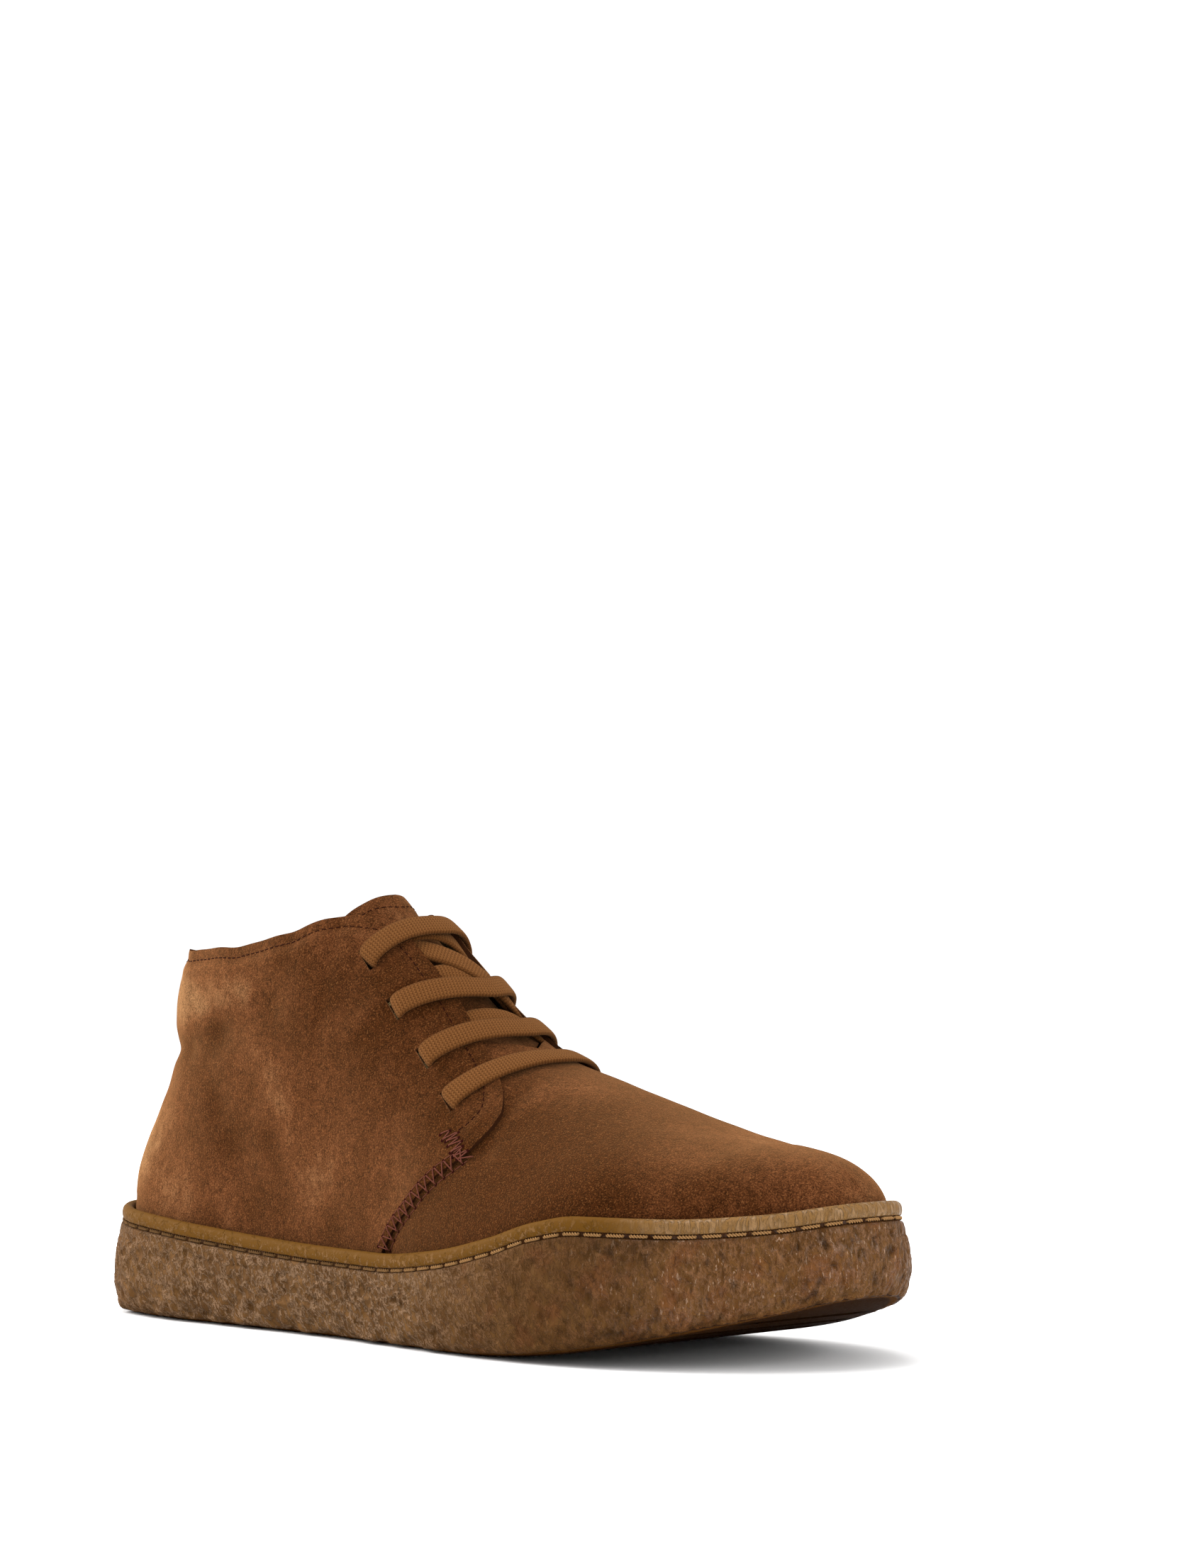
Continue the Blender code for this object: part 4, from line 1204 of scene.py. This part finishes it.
def zigzag(side, outer):
    """Frames of one front seam's slanted legs, of the straight threads beside them and of its holes."""
    edge = np.array(FRONT_EDGE[:6] + (SEAM_TOP,), float)
    line, normals = on_surface(outer, side_line(side, edge, 160))
    front, rear = (shifted(line, normals, side * away) for away in (SEAM_HALF, -SEAM_HALF))
    run = running(line) / MM
    count = int(run[-1] / SEAM_PITCH)
    step = run[-1] / count
    legs, straight, holes = [], [], []
    for k in range(count):
        s = (k + 0.05) * run[-1] / count
        f0, n0 = on_curve(outer, front, run, s)
        r0, n1 = on_curve(outer, rear, run, s + SEAM_LAG * step)
        f1, _ = on_curve(outer, front, run, s + step)
        r1, _ = on_curve(outer, rear, run, s + (1 + SEAM_LAG) * step)
        middle = (n0 + n1) / 2
        legs += [leg(f0, r0, middle, 0.5), leg(r0, f1, middle, 0.55)]
        straight += [leg(f0, f1, n0, 0.2), leg(r0, r1, n1, 0.1)]
        holes += [hole_at(r0, n1), hole_at(f0, n0, HOLE_LIFT / 2)]
    backs, heights = np.array(TACK, float).T
    tack, tack_normals = on_surface(outer, above(side, backs, heights))
    for start, end, normal in zip(tack, tack[1:], tack_normals):
        legs.append(leg(start, end, normal, 0.3))
        holes.append(hole_at(start, normal))
    return legs, straight, holes


def make_seams(settings, quarters, vamp, tongue):
    outer, top = surface_of(quarters, vamp), surface_of(tongue)
    dark = thread_paint("seam_thread_dark", settings.row_thread)
    fine = plain_stitch(*ROW_STITCH)
    rows = []
    for side in (-1, 1):
        back = np.linspace(0.5, 118, 60)
        table = [*zip(back, collar_height(back) - COLLAR_ROW), COLLAR_END]
        rows += stitch_row(side_line(side, table, 400), outer, settings.row_pitch)
        rows += stitch_row(side_line(side, FACING_ROW), outer, settings.row_pitch)
    scatter("collar_facing_stitches", fine, rows, dark, "upper")
    sides = [zigzag(side, outer) for side in (-1, 1)]
    legs, straight, holes = (lateral + medial for lateral, medial in zip(*sides))
    maroon = thread_paint("zigzag_thread", settings.seam_thread)
    scatter("zigzag_seams", plain_stitch(1.0, ZIGZAG_RADIUS, rings=8), legs, maroon, "upper")
    scatter("seam_lines", plain_stitch(1.0, LINE_RADIUS, rings=4), straight, maroon, "upper")
    # Needle holes: dark discs of painted shade.
    needle = plain_paint("needle_hole", HOLE_SHADE_COLOUR, 0.9)
    scatter("seam_holes", disc(HOLE_RADIUS), holes, needle, "upper")
    columns = np.linspace(-1, 1, 160)
    inward, below = TONGUE_ROW
    t = TONGUE_SIDE + inward + (1 - TONGUE_SIDE - inward) * (1 - abs(columns))
    back = tongue_top(t) + below
    line = on_last(np.where(columns < 0, place_of(-1, back), place_of(1, back)), t, -2.0)
    rows = stitch_row(line, top, settings.row_pitch)
    scatter("tongue_stitches", fine, rows, dark, "tongue")


# ---- materials ----
SUEDE_SHEEN, LACE_SHEEN, CREPE_SHINE = (0.85, 0.44, 0.19), (0.9, 0.55, 0.28), (1.0, 0.62, 0.3)
EDGE_SHADE = (0.020, 0.007, 0.003)  # between the fibres of a cut edge
# Painted shade in the crepe's pits.
CREPE_PIT_SHADE = (0.040, 0.017, 0.005)
CREPE_RED = (0.125, 0.036, 0.014)  # of the clouds in front of the heel
# Painted shade in the hollows between the toe's upright ridges.
CREPE_TOE_HOLLOW_SHADE = (0.045, 0.016, 0.006)
CREPE_GLINT = (0.36, 0.24, 0.16)
# The third colour here darkens the sole's underside: painted shade.
SOLE_EDGE, SOLE_LINE, UNDERSIDE_SHADE = (0.095, 0.036, 0.007), (0.016, 0.004, 0.002), (0.034, 0.012, 0.003)
# Painted shade in the rim's stitch groove.
GROOVE_SHADE = (0.030, 0.009, 0.003)
RIM_TIP, RIM_CRACKLE = (0.30, 0.17, 0.070), (0.22, 0.12, 0.055)
HEEL_THREAD = (0.088, 0.046, 0.018)
WEAVE_PITCH = 0.0013  # between the threads of the lining, in metres
CHEVRON, COLUMN_WIDTH = 0.00105, 0.00052  # the lace's weave in metres, along and across


def suede_paint(settings):
    sheen = {"sheen_weight": 0.3, "sheen_roughness": 0.45, "sheen_tint": SUEDE_SHEEN}
    paint = Paint("suede", roughness=1.0, specular_ior_level=0.0, **sheen)
    broad = paint.noise(38, warp=0.5)
    patch = paint.noise(11, detail=3, rough=0.6, warp=0.3)
    clump = paint.noise(2.4, detail=3, rough=0.7)
    nap = paint.noise(0.5, rough=0.8)
    # Lightness of the nap: random patches, plus the painted light and shade of the folds, the collar and
    # the seams.
    light = broad * 0.5 + patch * 0.35 + clump * 0.15 + paint.layer("tone") * 0.36
    colour = paint.mix(paint.span(light, 0.22, 0.80), settings.suede_dark, settings.suede_light)
    colour = paint.mix(paint.span(light, 0.55, 0.85), colour, settings.suede_bright)
    fibres = paint.span(nap, 0.32, 0.70, 0.42, 1.5) + paint.span(clump, 0.3, 0.7, -0.2, 0.2)
    specks = paint.span(nap, 0.56, 0.68) * 0.34
    colour = paint.mix(specks, paint.scaled(colour, fibres), settings.suede_speck)
    return paint.finish(colour, paint.bump(nap * 0.8 + clump * 0.4, 0.25))


def lining_paint(name, colour):
    paint = Paint(name, roughness=0.9, specular_ior_level=0.1)
    x, y, z = paint.axes("Object")
    turns = 2 * math.pi / WEAVE_PITCH
    weave = paint.math("SINE", y * turns) * paint.math("SINE", (x + z) * turns) * 0.5 + 0.5
    fuzz = paint.noise(0.8, detail=3)
    tint = paint.mix(weave * 0.5 + fuzz * 0.5, [c * 0.45 for c in colour], colour)
    return paint.finish(tint, paint.bump(weave + fuzz, 0.2))


def edge_paint(settings):
    paint = Paint("cut_edge", roughness=1.0, specular_ior_level=0.0)
    fibre = paint.noise(0.5, detail=4, rough=0.8)
    return paint.finish(paint.mix(fibre, EDGE_SHADE, settings.edge_colour), paint.bump(fibre, 0.2))


def crepe_paint(settings):
    paint = Paint("crepe", specular_ior_level=0.02, coat_roughness=0.35, specular_tint=CREPE_SHINE)
    level, heel, toe = (paint.layer(name) for name in ("level", "heel", "toe"))
    slant = paint.place((1, CREPE_STRETCH, 1), (math.radians(CREPE_SLANT), 0, 0), kind="TEXTURE")
    coarse = paint.noise(2.1, slant, detail=4, rough=0.6, warp=0.2)
    fine = paint.noise(1.15, paint.place((1, 1, 0.36)), detail=3, rough=0.62, warp=0.15)
    lines = paint.span(paint.math("ABSOLUTE", coarse * 2 - 1), 0.15, 0.0)
    upright = paint.span(fine, 0.42, 0.64)
    ridges = lines * (heel * 0.3 + 0.55) + upright * (toe * 0.5 + 0.1)
    pits = paint.span(coarse, 0.43, 0.35)
    cloud = paint.span(paint.noise(11, detail=3, rough=0.6), 0.35, 0.65)
    colour = paint.mix(cloud, settings.wall_dark, settings.wall_gold)
    ridge_colour = paint.mix(heel * 0.9 + 0.1, settings.wall_amber, settings.wall_light)
    red = paint.span(paint.noise(10), 0.52, 0.68) * (1 - heel) * 0.3
    # Painted highlights: small bright glints on the toe's ridges.
    glints = paint.span(paint.noise(0.9, paint.place((1, 1, 0.4))), 0.64, 0.70)
    line = paint.span(level, 0.80, 0.88) * paint.span(level, 1.06, 0.96) * toe
    colour = paint.over(
        colour,
        # ridges painted lighter: partly their own lighter colour, partly painted light on their tops
        (ridges, ridge_colour),
        # painted shade in the pits
        (pits * ((1 - heel) * 0.06 + 0.3), CREPE_PIT_SHADE),
        (red, CREPE_RED),
        # painted shade in the toe's hollows
        (paint.span(fine, 0.45, 0.33) * toe * 0.5, CREPE_TOE_HOLLOW_SHADE),
        (glints * paint.span(level, 1.0, 3.0) * toe * 0.5, CREPE_GLINT),
        ((1 - heel) * 0.15, settings.wall_amber),
        (paint.span(level, 0.9, 0.75), SOLE_EDGE),
        (line * 0.8, SOLE_LINE),
        # painted shade on the underside
        (paint.span(level, 0.5, 0.2), UNDERSIDE_SHADE),
    )
    # Painted light from above from the shade layer; then lighter at the heel, darker toward the toe but not
    # at its tip.
    painted_shade_and_tone = paint.span(paint.layer("shade"), 0.1, 0.95, 0.55, 1.3)
    painted_shade_and_tone = painted_shade_and_tone + heel * 0.28 - 0.11 - toe * 0.28 + paint.span(toe, 0.7, 1.0) * 0.40
    colour = paint.scaled(colour, painted_shade_and_tone)
    # Above the wall: the stitch groove, painted darker as shade, and the smooth rim, pleated and scuffed.
    groove = paint.span(level, 6.3, 6.8) * paint.span(level, 8.8, 8.4)
    rim = paint.span(level, 8.6, 8.9)
    tip = paint.span(toe, 0.45, 1.0)
    pleats = paint.span(paint.noise(1.3, paint.place((1, 1, 0.25))), 0.38, 0.68) * tip
    crackle = paint.span(paint.noise(1.3, detail=3, rough=0.7), 0.5, 0.62) * paint.span(level, 12.0, 9.6)
    # The rim's tip and pleats are painted lighter: partly its own colour, partly a painted highlight of its
    # gloss.
    rim_coats = (tip * 0.42 + pleats * 0.2, RIM_TIP), (crackle * (1 - toe) * 0.45, RIM_CRACKLE)
    rim_colour = paint.over(settings.rim_colour, *rim_coats)
    colour = paint.over(colour, (groove * 0.7, GROOVE_SHADE), (rim, rim_colour))
    relief = ridges * (1 - rim) - pits * 0.4 + pleats * rim * 1.4 + crackle * rim * 0.3
    rough = paint.span(toe, 0.0, 1.0, 0.6, 0.4) + paint.span(level, 0.9, 0.6) * 0.4
    shine = ridges * (1 - rim) * toe * paint.span(level, 1.0, 2.0) * 0.35 + pleats * rim * 0.4
    paint.feed(paint.shader.inputs["Coat Weight"], shine)
    return paint.finish(colour, paint.bump(relief, 0.6), rough)


def thread_paint(name, colour, dull=0.0):
    """dull is how much darker the thread is at the heel than at the toe."""
    paint = Paint(name, roughness=0.8, specular_ior_level=0.02)
    strand = paint.noise(0.35, detail=3, rough=0.7)
    tint = paint.mix(strand, [c * 0.4 for c in colour], colour)
    toward_heel = paint.span(paint.axes("Object")[1], -0.05, 0.03)
    tint = paint.mix(toward_heel * dull, tint, HEEL_THREAD)
    return paint.finish(tint, paint.bump(strand, 0.1))


def lace_paint(settings):
    sheen = {"sheen_weight": 0.1, "sheen_tint": LACE_SHEEN}
    paint = Paint("lace_braid", roughness=0.95, specular_ior_level=0.0, **sheen)
    across, along, _ = paint.axes("UV")
    wander = paint.noise(3.0) * 0.0005
    across, along = across + wander, along + wander
    column = paint.math("PINGPONG", across, COLUMN_WIDTH)
    chevron = paint.math("SINE", (along + column * 0.9) * (2 * math.pi / CHEVRON)) * 0.5 + 0.5
    ribs = paint.math("COSINE", across * (math.pi / COLUMN_WIDTH)) * 0.5 + 0.5
    fuzz = paint.noise(0.5, detail=3, rough=0.75)
    knit = chevron * 0.4 + ribs * 0.15 + fuzz * 0.6
    colour = paint.mix(paint.span(knit, 0.15, 0.95), settings.dark, settings.colour)
    # Painted shade on the lace's rolled edges.
    edge = paint.span(paint.math("ABSOLUTE", across), settings.width * 0.33, settings.width * 0.5)
    colour = paint.mix(edge * 0.55, colour, settings.dark)
    return paint.finish(colour, paint.bump(knit, 0.2))


def plain_paint(name, colour, roughness):
    paint = Paint(name, roughness=roughness, specular_ior_level=0.0)
    return paint.finish(paint.mix(paint.noise(300), [c * 0.99 for c in colour], colour))


# ---- stage ----
CAMERA_AT = (-0.9456, -0.9443, 0.1358)  # metres
CAMERA_RIGHT = (0.6899, -0.7239)
CAMERA_PITCH = 1.3323  # degrees up
LIGHTS = (  # name, place and size in metres
    ("top", (-0.15, 0.1, 1.35), 1.0),
    ("heel", (-0.45, 1.25, 0.75), 0.8),
    ("toe", (0.3, -1.3, 0.6), 0.6),
)
LIGHTS_AIM = (0, 0, 0.05)
FLOOR_RADIUS = 6


def add_area(name, at, size, power):
    only()
    bpy.ops.object.light_add(type="AREA", location=at)
    lamp = bpy.context.object
    lamp.name = lamp.data.name = name
    lamp.data.shape = "RECTANGLE"
    lamp.data.size = lamp.data.size_y = size
    lamp.data.energy = power
    lamp.rotation_euler = (Vector(LIGHTS_AIM) - Vector(at)).to_track_quat("-Z", "Y").to_euler()


def make_stage(settings):
    only()
    bpy.ops.mesh.primitive_circle_add(vertices=96, radius=FLOOR_RADIUS, fill_type="NGON")
    floor = bpy.context.object
    floor.name = floor.data.name = "pale_floor"
    coat(floor, plain_paint("pale_floor", settings.floor_colour, 0.9))
    world = bpy.data.worlds.new("soft_studio")
    world.use_nodes = True
    background = world.node_tree.nodes["Background"]
    background.inputs["Color"].default_value = (1, 1, 1, 1)
    background.inputs["Strength"].default_value = settings.ambient
    scene = bpy.context.scene
    scene.world = world
    scene.view_settings.view_transform = "Standard"
    for name, at, size in LIGHTS:
        add_area(f"{name}_light", at, size, getattr(settings, f"{name}_power"))
    (x, y), pitch = CAMERA_RIGHT, math.radians(CAMERA_PITCH)
    right = Vector((x, y, 0))
    forward = Vector((-y * math.cos(pitch), x * math.cos(pitch), math.sin(pitch)))
    only()
    bpy.ops.object.camera_add(location=CAMERA_AT)
    camera = bpy.context.object
    camera.rotation_euler = Matrix((right, right.cross(forward), -forward)).transposed().to_euler()
    camera.data.sensor_width = 36
    camera.data.lens = settings.lens
    camera.data.clip_start = 0.05
    scene.camera = camera


# ---- add-on ----
def colour_property(name, description, default):
    return bpy.props.FloatVectorProperty(
        name=name, description=description, default=default, size=3, min=0, max=1, subtype="COLOR"
    )


def length_property(name, description, default):
    return bpy.props.FloatProperty(
        name=name, description=description, default=default, min=0.0001, unit="LENGTH", subtype="DISTANCE"
    )


def number_property(name, description, default, subtype="NONE"):
    return bpy.props.FloatProperty(
        name=name, description=description, default=default, min=0, subtype=subtype
    )


class SoleSettings(bpy.types.PropertyGroup):
    """Sizes and colours of the crepe cupsole."""

    crepe_depth: length_property("Crepe depth", "Depth of the wrinkles on the side", 0.001)
    stitch_pitch: length_property("Stitch pitch", "Distance from one rim stitch to the next", 0.007)
    stitch_thickness: length_property("Thread thickness", "Diameter of the rim's thread", 0.0011)
    rim_colour: colour_property("Rim", "Colour of the smooth rim", (0.098, 0.043, 0.0065))
    wall_light: colour_property("Crepe ridges", "Colour of the ridges at the heel", (0.176, 0.104, 0.058))
    wall_amber: colour_property("Crepe amber", "Colour of the ridges at the toe", (0.124, 0.050, 0.0135))
    wall_gold: colour_property("Crepe", "Lighter colour of the crepe", (0.096, 0.046, 0.0150))
    wall_dark: colour_property("Crepe hollows", "Darker colour of the crepe", (0.064, 0.029, 0.0090))
    thread_colour: colour_property("Rim thread", "Colour of the rim's thread", (0.40, 0.215, 0.085))


class UpperSettings(bpy.types.PropertyGroup):
    """Sizes and colours of the suede upper."""

    fold_depth: number_property("Fold depth", "Factor on the folds", 1.0, "FACTOR")
    slot_length: length_property("Slot length", "Length of a lace slot", 0.0084)
    slot_width: length_property("Slot width", "Width of a lace slot", 0.0019)
    row_pitch: length_property("Row pitch", "Distance from one fine stitch to the next", 0.0024)
    row_thread: colour_property("Row thread", "Colour of the fine rows' thread", (0.026, 0.006, 0.003))
    seam_thread: colour_property("Seam thread", "Colour of the zigzag seam's thread", (0.165, 0.053, 0.034))
    suede_bright: colour_property("Suede light", "Colour of the lightest nap", (0.163, 0.080, 0.034))
    suede_light: colour_property("Suede nap", "Colour of the brushed nap", (0.107, 0.0365, 0.0132))
    suede_dark: colour_property("Suede shade", "Colour of the turned nap", (0.033, 0.0088, 0.0018))
    suede_speck: colour_property("Suede specks", "Colour of the fibre tips", (0.21, 0.092, 0.031))
    edge_colour: colour_property("Cut edge", "Colour of the cut edges", (0.048, 0.018, 0.0075))
    lining_colour: colour_property("Lining", "Colour of the textile lining", (0.20, 0.130, 0.052))


class LaceSettings(bpy.types.PropertyGroup):
    """Sizes and colours of the lace."""

    width: length_property("Width", "Width of the flat lace", 0.008)
    thickness: length_property("Thickness", "Thickness of the lace", 0.0019)
    colour: colour_property("Lace", "Colour of the lace's yarn", (0.150, 0.060, 0.0185))
    dark: colour_property("Lace shade", "Colour between the yarns", (0.055, 0.019, 0.005))


class StageSettings(bpy.types.PropertyGroup):
    """Floor, light and camera."""

    floor_colour: colour_property("Floor", "Colour of the floor", (0.93, 0.93, 0.93))
    ambient: number_property("Ambient", "Strength of the surrounding light", 1.12)
    top_power: number_property("Top light", "Power of the upper light", 13.0, "POWER")
    heel_power: number_property("Heel light", "Power of the light at the heel", 25.0, "POWER")
    toe_power: number_property("Toe light", "Power of the light at the toe", 6.5, "POWER")
    lens: number_property("Lens", "Focal length in millimetres", 100.8)


class BOOT_OT_sole(bpy.types.Operator):
    """Adds the crepe cupsole and the stitches in its rim"""

    bl_idname = "boot.sole"
    bl_label = "Cupsole"

    def execute(self, context):
        make_sole(context.scene.boot_sole)
        make_rim_stitches(context.scene.boot_sole)
        return {"FINISHED"}


class BOOT_OT_insole(bpy.types.Operator):
    """Adds the textile insole inside the cup"""

    bl_idname = "boot.insole"
    bl_label = "Insole"

    def execute(self, context):
        make_insole(context.scene.boot_upper)
        return {"FINISHED"}


class BOOT_OT_upper(bpy.types.Operator):
    """Adds the suede vamp, quarters and tongue"""

    bl_idname = "boot.upper"
    bl_label = "Suede upper"

    def execute(self, context):
        settings = context.scene.boot_upper
        vamp = make_vamp(settings)
        quarters = make_quarters(settings)
        tongue = make_tongue(settings)
        make_seams(settings, quarters, vamp, tongue)
        return {"FINISHED"}


class BOOT_OT_lace(bpy.types.Operator):
    """Adds the flat lace through the slots"""

    bl_idname = "boot.lace"
    bl_label = "Lace"

    def execute(self, context):
        make_lace(context.scene.boot_lace)
        return {"FINISHED"}


class BOOT_OT_stage(bpy.types.Operator):
    """Adds the floor, the lights and the camera"""

    bl_idname = "boot.stage"
    bl_label = "Stage"

    def execute(self, context):
        make_stage(context.scene.boot_stage)
        return {"FINISHED"}


class BOOT_PT_panel(bpy.types.Panel):
    """Lists the boot's pieces and settings"""

    bl_idname = "BOOT_PT_panel"
    bl_label = "Suede boot"
    bl_space_type = "VIEW_3D"
    bl_region_type = "UI"
    bl_category = "Boot"

    def draw(self, context):
        for operator, group in STEPS:
            self.layout.operator(operator.bl_idname)
            settings = getattr(context.scene, group)
            for name in settings.__annotations__:
                self.layout.prop(settings, name)


STEPS = (
    (BOOT_OT_sole, "boot_sole"),
    (BOOT_OT_insole, "boot_upper"),
    (BOOT_OT_upper, "boot_upper"),
    (BOOT_OT_lace, "boot_lace"),
    (BOOT_OT_stage, "boot_stage"),
)
GROUPS = {
    "boot_sole": SoleSettings,
    "boot_upper": UpperSettings,
    "boot_lace": LaceSettings,
    "boot_stage": StageSettings,
}


def register():
    for name, group in GROUPS.items():
        bpy.utils.register_class(group)
        setattr(bpy.types.Scene, name, bpy.props.PointerProperty(type=group))
    for operator, _ in STEPS:
        bpy.utils.register_class(operator)
    bpy.utils.register_class(BOOT_PT_panel)


def unregister():
    bpy.utils.unregister_class(BOOT_PT_panel)
    for operator, _ in reversed(STEPS):
        bpy.utils.unregister_class(operator)
    for name, group in GROUPS.items():
        delattr(bpy.types.Scene, name)
        bpy.utils.unregister_class(group)


def main():
    register()
    for operator, _ in STEPS:
        family, name = operator.bl_idname.split(".")
        getattr(getattr(bpy.ops, family), name)()


if __name__ == "__main__":
    main()
